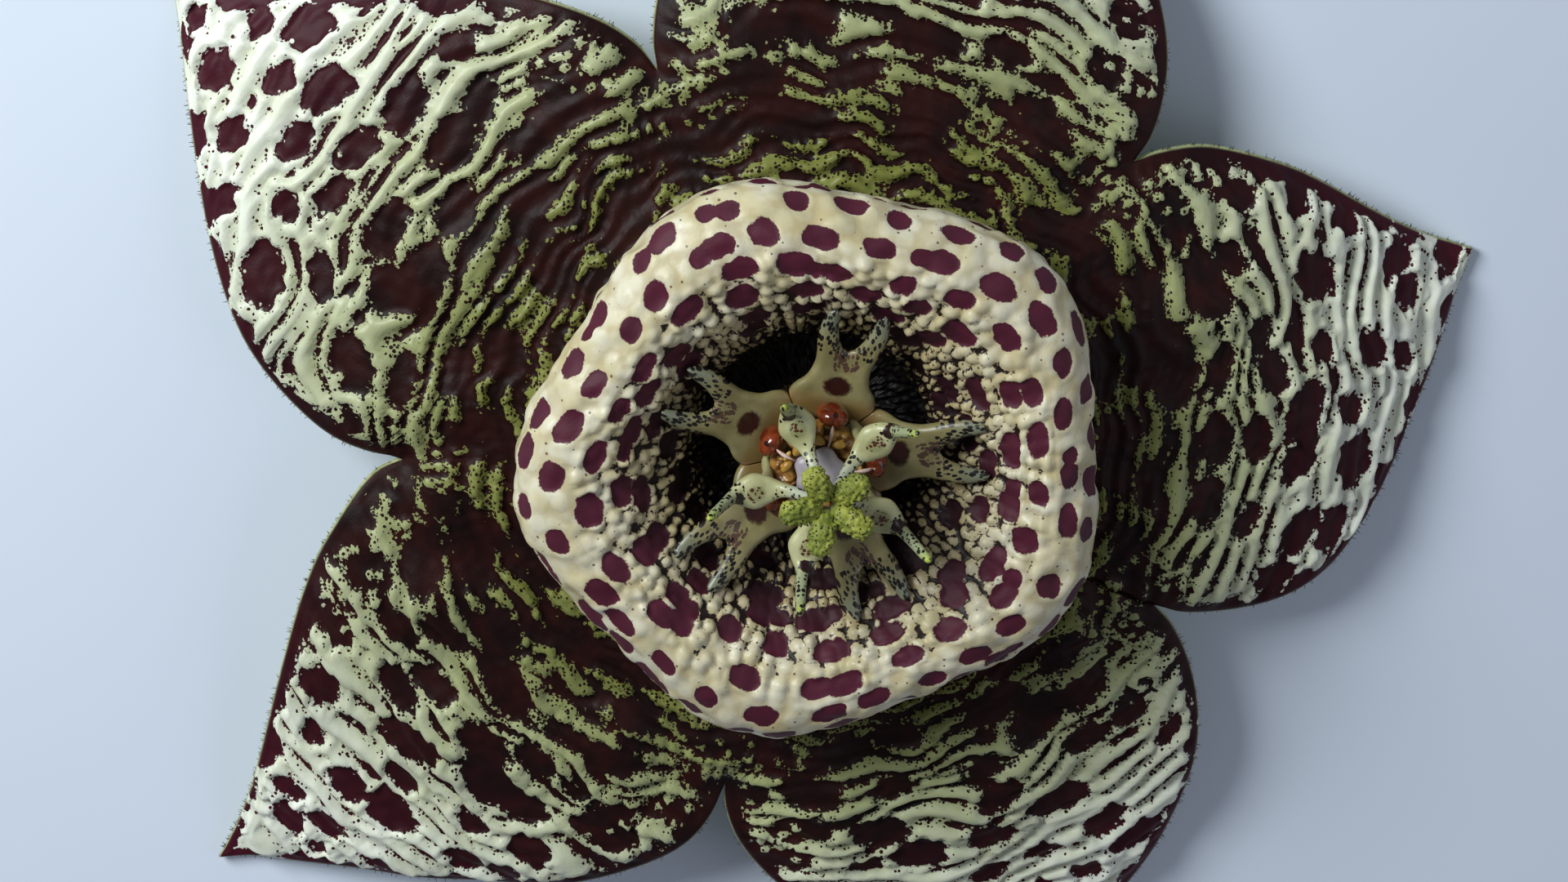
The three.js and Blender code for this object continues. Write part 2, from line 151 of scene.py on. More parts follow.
class Skin:
    """Noise on a sheet that closes round the flower: angle one way, distance the other."""

    TURNS = 4096

    def __init__(self, seed, first, last, step):
        self.rng = np.random.default_rng(seed)
        self.first, self.step = first, step
        self.rows = int((last - first) / step) + 1

    def grown(self, weight, radius):
        """Even noise with each wave weighted by weight(waves per mm round the flower, and outwards)."""
        white = self.rng.standard_normal((self.TURNS, self.rows))
        around = np.fft.fftfreq(self.TURNS, 2 * math.pi * radius / self.TURNS)[:, None]
        outwards = np.fft.rfftfreq(self.rows, self.step)[None, :]
        field = np.fft.irfft2(np.fft.rfft2(white) * weight(around, outwards), s=white.shape)
        return field / field.std()

    def blobs(self, wavelength, stretch, radius, spread=0.4):
        """Rounded lumps about half a wavelength across, stretched round the flower."""
        def weight(around, outwards):
            pitch = np.hypot(outwards, around * stretch) * wavelength
            return np.exp(-((pitch - 1) / spread) ** 2 / 2)
        return self.grown(weight, radius)

    def ridges(self, wavelength, length, radius, spread=0.24):
        """Even ridges that run round the flower, one wavelength apart, and fork or end after a length."""
        white = self.rng.standard_normal((self.TURNS, self.rows))
        around = np.fft.fftfreq(self.TURNS, 2 * math.pi * radius / self.TURNS)[:, None]
        outwards = np.fft.fftfreq(self.rows, self.step)[None, :]
        weight = (np.exp(-((outwards * wavelength - 1) / spread) ** 2 / 2)
                  * np.exp(-(around * 2 * math.pi * length) ** 2 / 2))
        wave = np.fft.ifft2(np.fft.fft2(white) * weight)
        strength = np.abs(wave)
        return 1.5 * wave.real / np.sqrt(strength ** 2 + (0.35 * strength.mean()) ** 2)

    def at(self, field, angle, distance):
        """The field at these places, blended between its four nearest samples."""
        turn = np.mod(angle / (2 * math.pi), 1.0) * self.TURNS
        row = np.clip((distance - self.first) / self.step, 0, self.rows - 1.001)
        i, j = np.floor(turn).astype(int), np.floor(row).astype(int)
        u, v = turn - i, row - j
        i, i_next = i % self.TURNS, (i + 1) % self.TURNS
        low = field[i, j] * (1 - u) + field[i_next, j] * u
        high = field[i, j + 1] * (1 - u) + field[i_next, j + 1] * u
        return low * (1 - v) + high * v


def scatter(i, j, seed):
    """An even number from 0 to 1 for each lattice cell, always the same one for the same cell."""
    value = np.sin(i * 12.9898 + j * 78.233 + seed * 37.719) * 43758.5453
    return value - np.floor(value)


def cells(u, v, round_count, seed, jitter=0.75):
    """Distances to the nearest and the next of a scattered lattice, in cells, and the nearest's number."""
    i, j = np.floor(u), np.floor(v)
    nearest, following = np.full(u.shape, 9.0), np.full(u.shape, 9.0)
    number = np.zeros(u.shape)
    for di in (-1, 0, 1):
        for dj in (-1, 0, 1):
            a, b = i + di, j + dj
            wrapped = np.mod(a, round_count)
            x = a + 0.5 + jitter * (scatter(wrapped, b, seed) - 0.5)
            y = b + 0.5 + jitter * (scatter(wrapped, b, seed + 1) - 0.5)
            distance = np.hypot(u - x, v - y)
            closer = distance < nearest
            following = np.where(closer, nearest, np.minimum(following, distance))
            number = np.where(closer, scatter(wrapped, b, seed + 2), number)
            nearest = np.where(closer, distance, nearest)
    return nearest, following, number


# ---- Building pieces -----------------------------------------------------------------------------------

def mapped_grid(bm, columns, rows, place, layers=()):
    """A grid of faces whose corners place(u, v) puts in space; u and v run from 0 to 1."""
    verts = bmesh.ops.create_grid(bm, x_segments=columns, y_segments=rows, size=0.5)["verts"]
    flat = np.array([v.co[:2] for v in verts]) + 0.5
    u = np.round(flat[:, 0] * columns) / columns
    v = np.round(flat[:, 1] * rows) / rows
    points, values = place(u, v)
    for vert, point in zip(verts, points):
        vert.co = point
    for layer, value in zip(layers, values):
        for vert, number in zip(verts, np.broadcast_to(value, u.shape)):
            vert[layer] = number


def finished(bm, name, replaces, material, doubles=MERGE / 2):
    """Closes a piece's seams and open ends, turns its faces outwards, hangs it on the root body and hides
    the nodes it replaces.
    """
    if doubles:
        bmesh.ops.remove_doubles(bm, verts=bm.verts, dist=doubles)
    bmesh.ops.holes_fill(bm, edges=[edge for edge in bm.edges if edge.is_boundary])
    bmesh.ops.recalc_face_normals(bm, faces=bm.faces)
    mesh = bpy.data.meshes.new(name)
    bm.to_mesh(mesh)
    bm.free()
    mesh.shade_smooth()
    piece = bpy.data.objects.new(name, mesh)
    bpy.context.scene.collection.objects.link(piece)
    piece.data.materials.append(material)
    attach(piece, "root")
    if replaces:
        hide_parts(*replaces)
    return piece


def read(items, key, width):
    """One value of each corner, as an array with this many numbers to a row."""
    flat = np.empty(len(items) * width, np.float32)
    items.foreach_get(key, flat)
    return flat.reshape(-1, width).astype(float)


def corners(piece):
    """The piece's corners, in its own units."""
    return read(piece.data.vertices, "co", 3)


def normals(piece):
    return read(piece.data.vertex_normals, "vector", 3)


def layer_of(piece, name):
    return read(piece.data.attributes[name].data, "value", 1)[:, 0]


def settle(piece, points, **values):
    """Writes a piece's corners, given in millimetres, in their place, and its pattern attributes."""
    piece.data.vertices.foreach_set("co", placed(points).astype(np.float32).ravel())
    for name, value in values.items():
        data = piece.data.attributes.get(name) or piece.data.attributes.new(name, "FLOAT", "POINT")
        data.data.foreach_set("value", np.asarray(value, np.float32))
    piece.data.update()
    return piece


# ---- Shader tools --------------------------------------------------------------------------------------

class Recipe:
    """A material's or a group's node tree, filled in with short calls."""

    def __init__(self, tree):
        self.tree = tree

    def put(self, kind, inputs=None, **settings):
        node = self.tree.nodes.new(kind)
        for key, value in settings.items():
            setattr(node, key, value)
        for key, value in (inputs or {}).items():
            self.feed(node.inputs[key], value)
        return node

    def feed(self, socket, value):
        if isinstance(value, bpy.types.NodeSocket):
            self.tree.links.new(value, socket)
        else:
            socket.default_value = value

    def sum(self, operation, *values):
        node = self.put("ShaderNodeMath", operation=operation)
        for socket, value in zip(node.inputs, values):
            self.feed(socket, value)
        return node.outputs[0]

    def step(self, value, low, high, out_low=0.0, out_high=1.0):
        node = self.put("ShaderNodeMapRange", interpolation_type="SMOOTHSTEP")
        for socket, number in zip(node.inputs, (value, low, high, out_low, out_high)):
            self.feed(socket, number)
        return node.outputs[0]

    def blend(self, share, first, second):
        node = self.put("ShaderNodeMix", data_type="RGBA")
        for index, value in ((0, share), (6, first), (7, second)):
            self.feed(node.inputs[index], value)
        return node.outputs[2]

    def attribute(self, name):
        return self.put("ShaderNodeAttribute", attribute_name=name).outputs["Fac"]

    def noise(self, vector, scale, detail=2.0, roughness=0.5):
        inputs = {"Vector": vector, "Scale": scale, "Detail": detail, "Roughness": roughness}
        return self.put("ShaderNodeTexNoise", inputs).outputs["Fac"]

    def ragged(self, vector, scale):
        """Fine noise about zero, which frays the edge of a marking."""
        return self.sum("SUBTRACT", self.noise(vector, scale, 3.0, 0.6), 0.5)

    def shade(self, value, low, high, first, second):
        """From the first colour to the second while the value goes from low to high."""
        return self.blend(self.step(value, low, high), colour(first), colour(second))

    def bump(self, height, strength, distance):
        inputs = {"Strength": strength, "Distance": distance, "Height": height}
        return self.put("ShaderNodeBump", inputs).outputs["Normal"]


def colour(text):
    """A linear colour from its sRGB hex digits."""
    parts = [int(text[i:i + 2], 16) / 255 for i in (0, 2, 4)]
    linear = [c / 12.92 if c <= 0.04045 else ((c + 0.055) / 1.055) ** 2.4 for c in parts]
    return (*linear, 1.0)


def group(name, inputs, outputs, fill):
    """A shader node group with named inputs (name: kind or number) and outputs (name: kind)."""
    tree = bpy.data.node_groups.new(name, "ShaderNodeTree")
    for key, value in inputs.items():
        kind = "NodeSocketVector" if value == "vector" else "NodeSocketFloat"
        socket = tree.interface.new_socket(key, in_out="INPUT", socket_type=kind)
        if value != "vector":
            socket.default_value = value
    for key in outputs:
        tree.interface.new_socket(key, in_out="OUTPUT", socket_type="NodeSocketFloat")
    recipe = Recipe(tree)
    entry = recipe.put("NodeGroupInput")
    results = fill(recipe, entry.outputs)
    leave = recipe.put("NodeGroupOutput")
    for key, value in results.items():
        recipe.feed(leave.inputs[key], value)
    return tree


def place_group(recipe, tree, inputs):
    node = recipe.put("ShaderNodeGroup", node_tree=tree)
    for key, value in inputs.items():
        recipe.feed(node.inputs[key], value)
    return node.outputs


def skin_material(name, fill, **shader):
    """A material; fill(recipe, vector) gives the sockets that vary over the surface."""
    material = bpy.data.materials.new(name)
    material.use_nodes = True
    recipe = Recipe(material.node_tree)
    recipe.tree.nodes.clear()
    vector = recipe.put("ShaderNodeTexCoord").outputs["Object"]
    principled = recipe.put("ShaderNodeBsdfPrincipled")
    for key, value in shader.items():
        principled.inputs[key.replace("_", " ")].default_value = value
    for key, socket in fill(recipe, vector).items():
        recipe.feed(principled.inputs[key], socket)
    recipe.put("ShaderNodeOutputMaterial", {"Surface": principled.outputs[0]})
    return material


def fill_speckles(recipe, entry):
    """Small round dark dots; Density is the share of cells that hold one."""
    node = recipe.put("ShaderNodeTexVoronoi", {"Vector": entry["Vector"], "Scale": entry["Scale"]})
    chance = recipe.put("ShaderNodeSeparateColor", {"Color": node.outputs["Color"]})
    size = recipe.sum("MULTIPLY", entry["Size"], recipe.step(chance.outputs[1], 0.0, 1.0, 0.55, 1.0))
    kept = recipe.sum("LESS_THAN", chance.outputs[0], entry["Density"])
    dot = recipe.step(recipe.sum("SUBTRACT", size, node.outputs["Distance"]), -0.03, 0.05)
    return {"Mask": recipe.sum("MULTIPLY", dot, kept)}


SPECKLES = group("speckles", {"Vector": "vector", "Scale": 5000.0, "Size": 0.3, "Density": 0.5},
                 ["Mask"], fill_speckles)


def fill_cell_skin(recipe, entry):
    """The fine pebbled grain of fleshy tissue, as a height."""
    grain = recipe.put("ShaderNodeTexVoronoi", {"Vector": entry["Vector"], "Scale": entry["Scale"]},
                       feature="SMOOTH_F1")
    broad = recipe.noise(entry["Vector"], recipe.sum("MULTIPLY", entry["Scale"], 0.23), 3.0)
    height = recipe.sum("MULTIPLY_ADD", grain.outputs["Distance"], -0.6, broad)
    return {"Height": height}


CELL_SKIN = group("cell_skin", {"Vector": "vector", "Scale": 9000.0}, ["Height"], fill_cell_skin)


def speckles(recipe, vector, scale, size, density):
    """A mask of small dots; scale is in cells per metre and size a share of a cell."""
    return place_group(recipe, SPECKLES, {
        "Vector": vector, "Scale": scale, "Size": size, "Density": density})["Mask"]


def grain(recipe, vector, scale, strength, depth):
    """The normal of a fleshy skin; scale is in cells per metre and depth in metres."""
    height = place_group(recipe, CELL_SKIN, {"Vector": vector, "Scale": scale})["Height"]
    return recipe.bump(height, strength, depth)


def fill_lobe_skin(recipe, vector):
    pale = recipe.attribute("pale")
    valley = recipe.attribute("valley")
    reach = recipe.attribute("reach")
    top = recipe.attribute("top")
    ragged = recipe.ragged(vector, 7500)
    tone = recipe.noise(vector, 450, 3.0)
    border = recipe.sum("MULTIPLY_ADD", ragged, 0.75, pale)
    inland = recipe.step(reach, 0.15, 0.6, 1.0, 0.3)
    grainy = recipe.sum("MULTIPLY", recipe.step(pale, 0.0, 1.0, 1.0, 0.0), inland)
    crowded = recipe.sum("MAXIMUM", recipe.sum("MULTIPLY", grainy, 0.85), recipe.sum(
        "MULTIPLY", valley, recipe.step(tone, 0.3, 0.7, 0.5, 1.0)))
    stipple = speckles(recipe, vector, 5000.0, 0.56, crowded)
    frayed = recipe.sum("MULTIPLY", recipe.step(pale, -0.9, 0.0, 0.0, 0.8), inland)
    crumbs = speckles(recipe, vector, 4300.0, 0.6, frayed)
    cream = recipe.shade(reach, 0.02, 0.36, "6c7029", "aeb288")
    cream = recipe.blend(recipe.step(reach, 0.25, 0.8), cream, colour("f0f2e6"))
    cream = recipe.blend(recipe.step(tone, 0.35, 0.7, 0.0, 0.25), cream, colour("b4ba78"))
    # Painted shade: the cream darkens in the valleys between the ridges and at the foot of each lobe.
    cream = recipe.blend(recipe.sum("MULTIPLY", valley, 0.35), cream, colour("8d9058"))
    maroon = recipe.shade(tone, 0.35, 0.65, "1a0908", "2c0e0c")
    maroon = recipe.blend(recipe.step(reach, 0.3, 0.95), maroon, colour("43101f"))
    light = recipe.sum("MAXIMUM", recipe.step(border, -0.08, 0.08), recipe.sum("MULTIPLY", crumbs, 0.8))
    light = recipe.sum("MULTIPLY", light, recipe.sum("SUBTRACT", 1.0, stipple))
    upper = recipe.blend(light, maroon, cream)
    back_tone = recipe.step(recipe.noise(vector, 1300, 4.0, 0.65), 0.42, 0.68)
    lower = recipe.blend(back_tone, colour("b9bf8c"), colour("93996a"))
    flecks = speckles(recipe, vector, 2600.0, 0.3, 0.3)
    lower = recipe.blend(recipe.sum("MULTIPLY", flecks, 0.6), lower, colour("6b3440"))
    return {
        "Base Color": recipe.blend(recipe.step(top, 0.6, 0.85), lower, upper),
        "Roughness": recipe.step(light, 0.0, 1.0, 0.52, 0.38),
        "Coat Weight": recipe.step(light, 0.0, 1.0, 0.0, 0.2),
        "Normal": grain(recipe, vector, 8000.0, 0.35, 0.00004),
    }


LOBE_SKIN = skin_material("lobe_skin", fill_lobe_skin, Specular_IOR_Level=0.17, Coat_Roughness=0.3)


def fill_annulus_skin(recipe, vector):
    spot = recipe.attribute("spot")
    gap = recipe.attribute("gap")
    inward = recipe.attribute("inward")
    rise = recipe.attribute("rise")
    ragged = recipe.ragged(vector, 6500)
    tone = recipe.noise(vector, 600, 3.0)
    cream = recipe.shade(tone, 0.35, 0.65, "ddd6be", "cdc19a")
    cream = recipe.blend(recipe.step(inward, 0.05, 0.7), cream, colour("ad9c74"))
    # Painted shade: the cream darkens where the lumps and beads are low, in the hollows between them.
    cream = recipe.blend(recipe.step(rise, 0.1, 0.6, 0.35, 0.0), cream, colour("ae9560"))
    dots = speckles(recipe, vector, 3800.0, 0.3, recipe.step(inward, 0.0, 0.6, 0.1, 0.55))
    cream = recipe.blend(recipe.sum("MULTIPLY", dots, 0.8), cream, colour("4a2618"))
    maroon = recipe.shade(inward, 0.1, 0.7, "551a2e", "1d0a0f")
    maroon = recipe.blend(recipe.step(tone, 0.3, 0.7, 0.0, 0.45), maroon, colour("3a1020"))
    dark_gap = recipe.step(recipe.sum("MULTIPLY_ADD", ragged, 0.5, gap), -0.05, 0.05)
    skin_colour = recipe.blend(dark_gap, cream, colour("1c0c0c"))
    inside = recipe.step(recipe.sum("MULTIPLY_ADD", ragged, 0.28, spot), -0.05, 0.05)
    skin_colour = recipe.blend(inside, skin_colour, maroon)
    skin_colour = recipe.blend(recipe.step(inward, 0.9, 1.0), skin_colour, colour("0c0606"))
    return {"Base Color": skin_colour, "Normal": grain(recipe, vector, 7000.0, 0.3, 0.00004),
            "Roughness": recipe.step(recipe.sum("MAXIMUM", inside, dark_gap), 0.0, 1.0, 0.4, 0.6),
            "Coat Weight": recipe.step(inside, 0.0, 1.0, 0.12, 0.0)}


ANNULUS_SKIN = skin_material("annulus_skin", fill_annulus_skin, Specular_IOR_Level=0.3, Coat_Roughness=0.3)


# ---- Corolla -------------------------------------------------------------------------------------------

CURVE_STEPS = 400


def lobe_side(k, side):
    """The margin from sinus to tip: side 0 is the right one and side 1 the left."""
    middle, tip, right, left = LOBES[k]
    near, far = (right, left)[side]
    sinus = polar(SINUS_RADIUS[k + side], SINUS_ANGLE[k + side])
    handles = turned(np.array([near, far, tip]), math.radians(middle))
    t = np.linspace(0, 1, CURVE_STEPS * 2)[:, None]
    curve = ((1 - t) ** 3 * sinus + 3 * (1 - t) ** 2 * t * handles[0]
             + 3 * (1 - t) * t ** 2 * handles[1] + t ** 3 * handles[2])
    return evened(curve, CURVE_STEPS + 1)


SIDES = [[lobe_side(k, side) for side in (0, 1)] for k in range(PETALS)]


def ring_point(radius, lobe, share):
    """A point on the five-cornered ring of this radius, at a share of the way across a lobe."""
    angle = SINUS_ANGLE[lobe] + (SINUS_ANGLE[lobe + 1] - SINUS_ANGLE[lobe]) * share
    return polar(cornered(radius, angle), angle)


def cornered(radius, angle):
    """The radius, drawn out towards the sinuses as the annulus is."""
    corner = np.cos(PETALS * (angle - SINUS_ANGLE[1]))
    return radius * (1 + PENTAGON * smooth(radius, PENTAGON_FROM, PENTAGON_FULL) * corner)


def lobe_of(points):
    """Which lobe each point belongs to."""
    angle = np.mod(np.arctan2(points[:, 1], points[:, 0]) - SINUS_ANGLE[0], 2 * math.pi)
    return np.searchsorted(SINUS_ANGLE[1:PETALS] - SINUS_ANGLE[0], angle, side="right")


def edge_distance(points, lobe):
    """How far each point is from its lobe's margin."""
    distance = np.full(len(points), 9.0)
    for k in range(PETALS):
        mine = np.flatnonzero(lobe == k)
        margin = np.vstack([side[::2] for side in SIDES[k]])
        for part in np.array_split(mine, 12):
            gaps = points[part, None, :2] - margin[None]
            distance[part] = np.sqrt((gaps ** 2).sum(-1).min(axis=1))
    return distance


SHEET_STEP = 0.07
LOBE_FIELD = Skin(11, 12.0, 43.0, SHEET_STEP)
SWELL = LOBE_FIELD.blobs(9.0, 1.0, 25.0, 0.5)
SWELL_HEIGHT = 0.2


def lobe_height(points, lobe, edge):
    """Height of the smooth upper face."""
    radius = np.hypot(points[:, 0], points[:, 1])
    angle = np.arctan2(points[:, 1], points[:, 0])
    reach = REACH[lobe]
    out = np.clip((radius - DISC_RADIUS) / (reach - DISC_RADIUS), 0, 1)
    arch = DISC_TOP - (DISC_TOP - ARCH_FOOT) * out ** ARCH_POWER
    arch = arch + 0.5 * smooth(radius, DISC_RADIUS, GROOVE_RADIUS)
    roll = MARGIN_ROLL * np.exp(-(edge / 1.1) ** 2) * (1 - out) * smooth(radius, 16.0, 20.0)
    swell = SWELL_HEIGHT * LOBE_FIELD.at(SWELL, angle, radius)
    swell = swell * smooth(radius, 15.0, 19.0) * smooth(1 - out, 0.0, 0.3)
    return np.maximum(arch - roll + swell, TIP_TOP)


LOBE_COLUMNS, LOBE_ROWS = 112, 114
BAND_ROWS, RIM_ROWS, LOWER_ROWS, INNER_ROWS = 26, 3, 5, 5
DISC_BLEND = 10.5


def lobes_shape():
    """The lobes' piece, closed, with the smooth face that the ridges then grow on."""
    bm = bmesh.new()
    top = bm.verts.layers.float.new("top")

    def raised(flat):
        """Puts plan points on the upper face."""
        lobe = lobe_of(flat)
        return np.column_stack([flat, lobe_height(flat, lobe, edge_distance(flat, lobe))])

    for k in range(PETALS):
        def across(u, v, k=k):
            right, left = along(SIDES[k][0], v), along(SIDES[k][1], v)
            return raised(right + (left - right) * u[:, None]), [1.0]
        mapped_grid(bm, LOBE_COLUMNS, LOBE_ROWS, across, [top])

    def round_place(u):
        """Lobe number and the share of the way across it."""
        lobe = np.minimum((u * PETALS + 1e-9).astype(int), PETALS - 1)
        return lobe, u * PETALS - lobe

    def band(u, v):
        lobe, share = round_place(u)
        ends = polar(SINUS_RADIUS, SINUS_ANGLE)
        outer = ends[lobe] + (ends[lobe + 1] - ends[lobe]) * share[:, None]
        inner = ring_point(GROOVE_RADIUS, lobe, share)
        return raised(outer + (inner - outer) * v[:, None]), [1.0]
    mapped_grid(bm, PETALS * LOBE_COLUMNS, BAND_ROWS, band, [top])

    def covered(u, v):
        """The face that the annulus hides, in to the column's hole."""
        lobe, share = round_place(u)
        start = raised(ring_point(GROOVE_RADIUS, lobe, share))
        end = np.column_stack([ring_point(HOLE_RADIUS, lobe, share), np.full(len(u), 5.6)])
        drop = np.sin(math.pi * v)[:, None] * (0.0, 0.0, -0.35)
        return start + (end - start) * v[:, None] + drop, [1 - v]
    mapped_grid(bm, PETALS * LOBE_COLUMNS, 3, covered, [top])

    margin_columns = PETALS * 2 * LOBE_ROWS

    def margin(u):
        """A point of the margin, its lobe, the share of the way across it, and the way outwards."""
        lobe, share = round_place(u)
        point, inner = np.empty((len(u), 2)), np.empty((len(u), 2))
        for k in range(PETALS):
            for side in (0, 1):
                mine = (lobe == k) & ((share > 0.5) == (side == 1))
                way = np.where(share > 0.5, 2 - 2 * share, 2 * share)[mine]
                point[mine] = along(SIDES[k][side], way)
                inner[mine] = (along(SIDES[k][0], way) + along(SIDES[k][1], way)) / 2 * 0.94
        outwards = point - inner
        outwards /= np.linalg.norm(outwards, axis=1, keepdims=True)
        way = 1 - np.abs(2 * share - 1)
        return point, lobe, share, outwards * smooth(way, 0.0, 0.06)[:, None]

    def rim(u, v):
        point, _, _, outwards = margin(u)
        start = raised(point)
        turn = math.pi * v
        start[:, :2] += outwards * (RIM_BULGE * np.sin(turn))[:, None]
        start[:, 2] = np.maximum(start[:, 2] - MARGIN_THICKNESS / 2 * (1 - np.cos(turn)), 0.02)
        return start, [1 - v]
    mapped_grid(bm, margin_columns, RIM_ROWS, rim, [top])

    def lower(u, v):
        point, lobe, share, _ = margin(u)
        inner = ring_point(DISC_RADIUS, lobe, share)
        start = raised(point + (inner - point) * v[:, None])
        start[:, 2] -= MARGIN_THICKNESS + (DISC_THICKNESS - MARGIN_THICKNESS) * v
        start[:, 2] = np.maximum(start[:, 2], 0.02)
        return start, [0.0]
    mapped_grid(bm, margin_columns, LOWER_ROWS, lower, [top])

    profile = flowing(UNDERSIDE, 100)

    def inner_lower(u, v):
        """The lower face of the disc, which starts where the lobes' lower face ends."""
        lobe, share = round_place(u)
        radius, height = along(profile, v).T
        start = raised(ring_point(DISC_RADIUS, lobe, share))[:, 2] - DISC_THICKNESS
        height += (start - profile[0, 1]) * smooth(radius, DISC_BLEND, DISC_RADIUS)
        return np.column_stack([ring_point(radius, lobe, share), height]), [0.0]
    mapped_grid(bm, margin_columns, INNER_ROWS, inner_lower, [top])
    bmesh.ops.remove_doubles(bm, verts=bm.verts, dist=MERGE)
    round_the_hole = [edge for edge in bm.edges if edge.is_boundary
                      and edge.verts[0].co.xy.length < 2 * HOLE_RADIUS]
    bmesh.ops.bridge_loops(bm, edges=round_the_hole)
    return bm


RIDGE_ZONES = [(radius, LOBE_FIELD.ridges(wavelength, length, radius)) for radius, wavelength, length in (
    (16.0, 1.05, 1.3), (22.0, 1.08, 1.9), (29.0, 1.05, 1.6), (36.0, 1.0, 0.9))]
WARP = [LOBE_FIELD.blobs(7.5, 1.0, 24.0) for _ in range(2)]
MOTTLE = LOBE_FIELD.blobs(3.2, 1.5, 24.0, 0.5)
FRET = LOBE_FIELD.blobs(0.8, 1.3, 24.0)

# From the foot of a lobe to its tip: the ridge level below which the skin is dark, and the rim's width.
DARK_LEVEL = ([0.0, 0.15, 0.3, 0.45, 0.6, 0.8, 1.0], [0.1, 0.0, -0.2, -0.55, -1.0, -1.7, -3.0])
RIM_WIDTH = ([0.0, 0.35, 0.8, 1.0], [1.0, 0.7, 0.25, 0.0])
BEAD_PITCH, BEAD_RADIUS = 0.72, 20.0
CREST_HEIGHT, PALE_HEIGHT, FRET_HEIGHT = 0.38, 0.10, 0.02


def ridge_noise(angle, radius):
    """The ridges: crests are positive."""
    total, power = 0.0, 0.0
    for centre, field in RIDGE_ZONES:
        weight = np.exp(-((radius - centre) / 3.6) ** 2)
        total = total + weight * LOBE_FIELD.at(field, angle, radius)
        power = power + weight ** 2
    return total / np.sqrt(power)


def lobe_spots(k):
    """A lobe's dark spots: radius, angle, radial and tangential half size, and lean."""
    rng = np.random.default_rng(200 + k)
    spots = []
    middle = math.radians(LOBES[k][0]) + math.atan2(LOBES[k][1][1], LOBES[k][1][0]) * 0.6
    radius, row = 15.4, 0
    while radius < REACH[k] - 0.5:
        out = (radius - 15.0) / (REACH[k] - 15.0)
        pitch, spacing = 4.5 - 1.8 * out, 2.65 - 0.25 * out
        for j in range(-6, 7):
            across = (j + 0.5 * (row % 2) + rng.normal(0, 0.16)) * pitch
            size = rng.uniform(0.7, 1.2)
            deep = (1.12 - 0.52 * out) * size
            wide = (2.05 - 1.25 * out) * size * rng.uniform(0.85, 1.2)
            place = radius + rng.normal(0, 0.16) * spacing
            lean = rng.normal(0, 0.14)
            if rng.random() < 0.95 - 0.1 * out:
                spots.append((place, middle + across / radius, deep, wide, lean))
        radius += spacing
        row += 1
    return spots


def spot_gap(angle, radius, lobe):
    """Millimetres from the edge of the nearest dark spot, less than none inside it."""
    gap = np.full(len(radius), 9.0)
    for k in range(PETALS):
        mine = lobe == k
        nearest = np.full(mine.sum(), 9.0)
        for centre, turn, deep, wide, lean in lobe_spots(k):
            x = np.angle(np.exp(1j * (angle[mine] - turn))) * centre
            y = radius[mine] - centre - lean * x
            near = (np.abs(x) < 4) & (np.abs(y) < 3)
            shape = (np.abs(y[near] / deep) ** 2.2 + np.abs(x[near] / wide) ** 2.2) ** (1 / 2.2)
            nearest[near] = np.minimum(nearest[near], (shape - 1) * 0.45 * (deep + wide))
        gap[mine] = nearest
    return gap


def lobe_pattern(points, lobe, edge):
    """The fields that the relief and the colours share, at these points of the upper face."""
    radius = np.hypot(points[:, 0], points[:, 1])
    angle = np.arctan2(points[:, 1], points[:, 0])
    out = np.clip((radius - 15.0) / (REACH[lobe] - 15.0), 0, 1)
    bend = LOBE_FIELD.at(WARP[0], angle, radius) * 0.33
    slide = LOBE_FIELD.at(WARP[1], angle, radius) * 0.4
    mottle = LOBE_FIELD.at(MOTTLE, angle, radius)
    fret = LOBE_FIELD.at(FRET, angle, radius)
    spot = spot_gap(angle, radius + 0.35 * bend, lobe) + 0.10 * fret
    ridge = ridge_noise(angle + slide / radius, radius + bend)
    # A ridge borders each spot, outside the base of the lobe.
    bordered = smooth(out, 0.1, 0.35)
    ridge = ridge * (1 - 0.5 * smooth(0.55 - spot, 0.0, 0.5) * bordered)
    ridge = ridge + 0.9 * np.exp(-((spot - 0.24) / 0.18) ** 2) * bordered

    limit = np.interp(out, *DARK_LEVEL)
    patchy = np.interp(out, [0.0, 0.3, 1.0], [0.85, 0.45, 0.3]) * mottle
    broken = np.interp(out, [0.0, 0.35, 1.0], [0.5, 0.2, 0.1]) * fret
    pale = np.minimum(ridge - limit + patchy + broken, 3.2 * spot)
    count = round(2 * math.pi * BEAD_RADIUS / BEAD_PITCH)
    near, _, number = cells(angle / (2 * math.pi) * count, radius / BEAD_PITCH, count, 5)
    bead = (0.38 - near) * 4.0 * smooth(3.4 - edge, 0.0, 0.8) * smooth(0.5 - out, 0.0, 0.15)
    pale = np.where((number > 0.35) & (bead > 0), np.maximum(pale, bead), pale)
    rim_width = np.interp(out, *RIM_WIDTH) + 0.22 * mottle + 0.1 * fret
    pale = np.clip(np.minimum(pale, (edge - rim_width) * 3.0), -1.5, 1.5)

    # Valley is high between the ridges and at the foot of each lobe; it crowds the stipple there and also
    # darkens the cream there as painted shade.
    valley = smooth(0.25 - ridge, 0.0, 1.2) * np.interp(out, [0, 0.5, 0.85, 1], [1, 1, 0.5, 0.3])
    valley = np.clip(valley + 0.8 * smooth(0.28 - out, 0.0, 0.25), 0, 1)
    lift = smooth(pale, -0.25, 0.6)
    crest = smooth(ridge, -0.9, 1.5)
    relief = CREST_HEIGHT * crest * (0.4 + 0.6 * lift) + PALE_HEIGHT * lift + FRET_HEIGHT * fret
    return {"pale": pale, "valley": valley, "reach": out, "relief": relief * smooth(edge, 0.0, 0.5)}


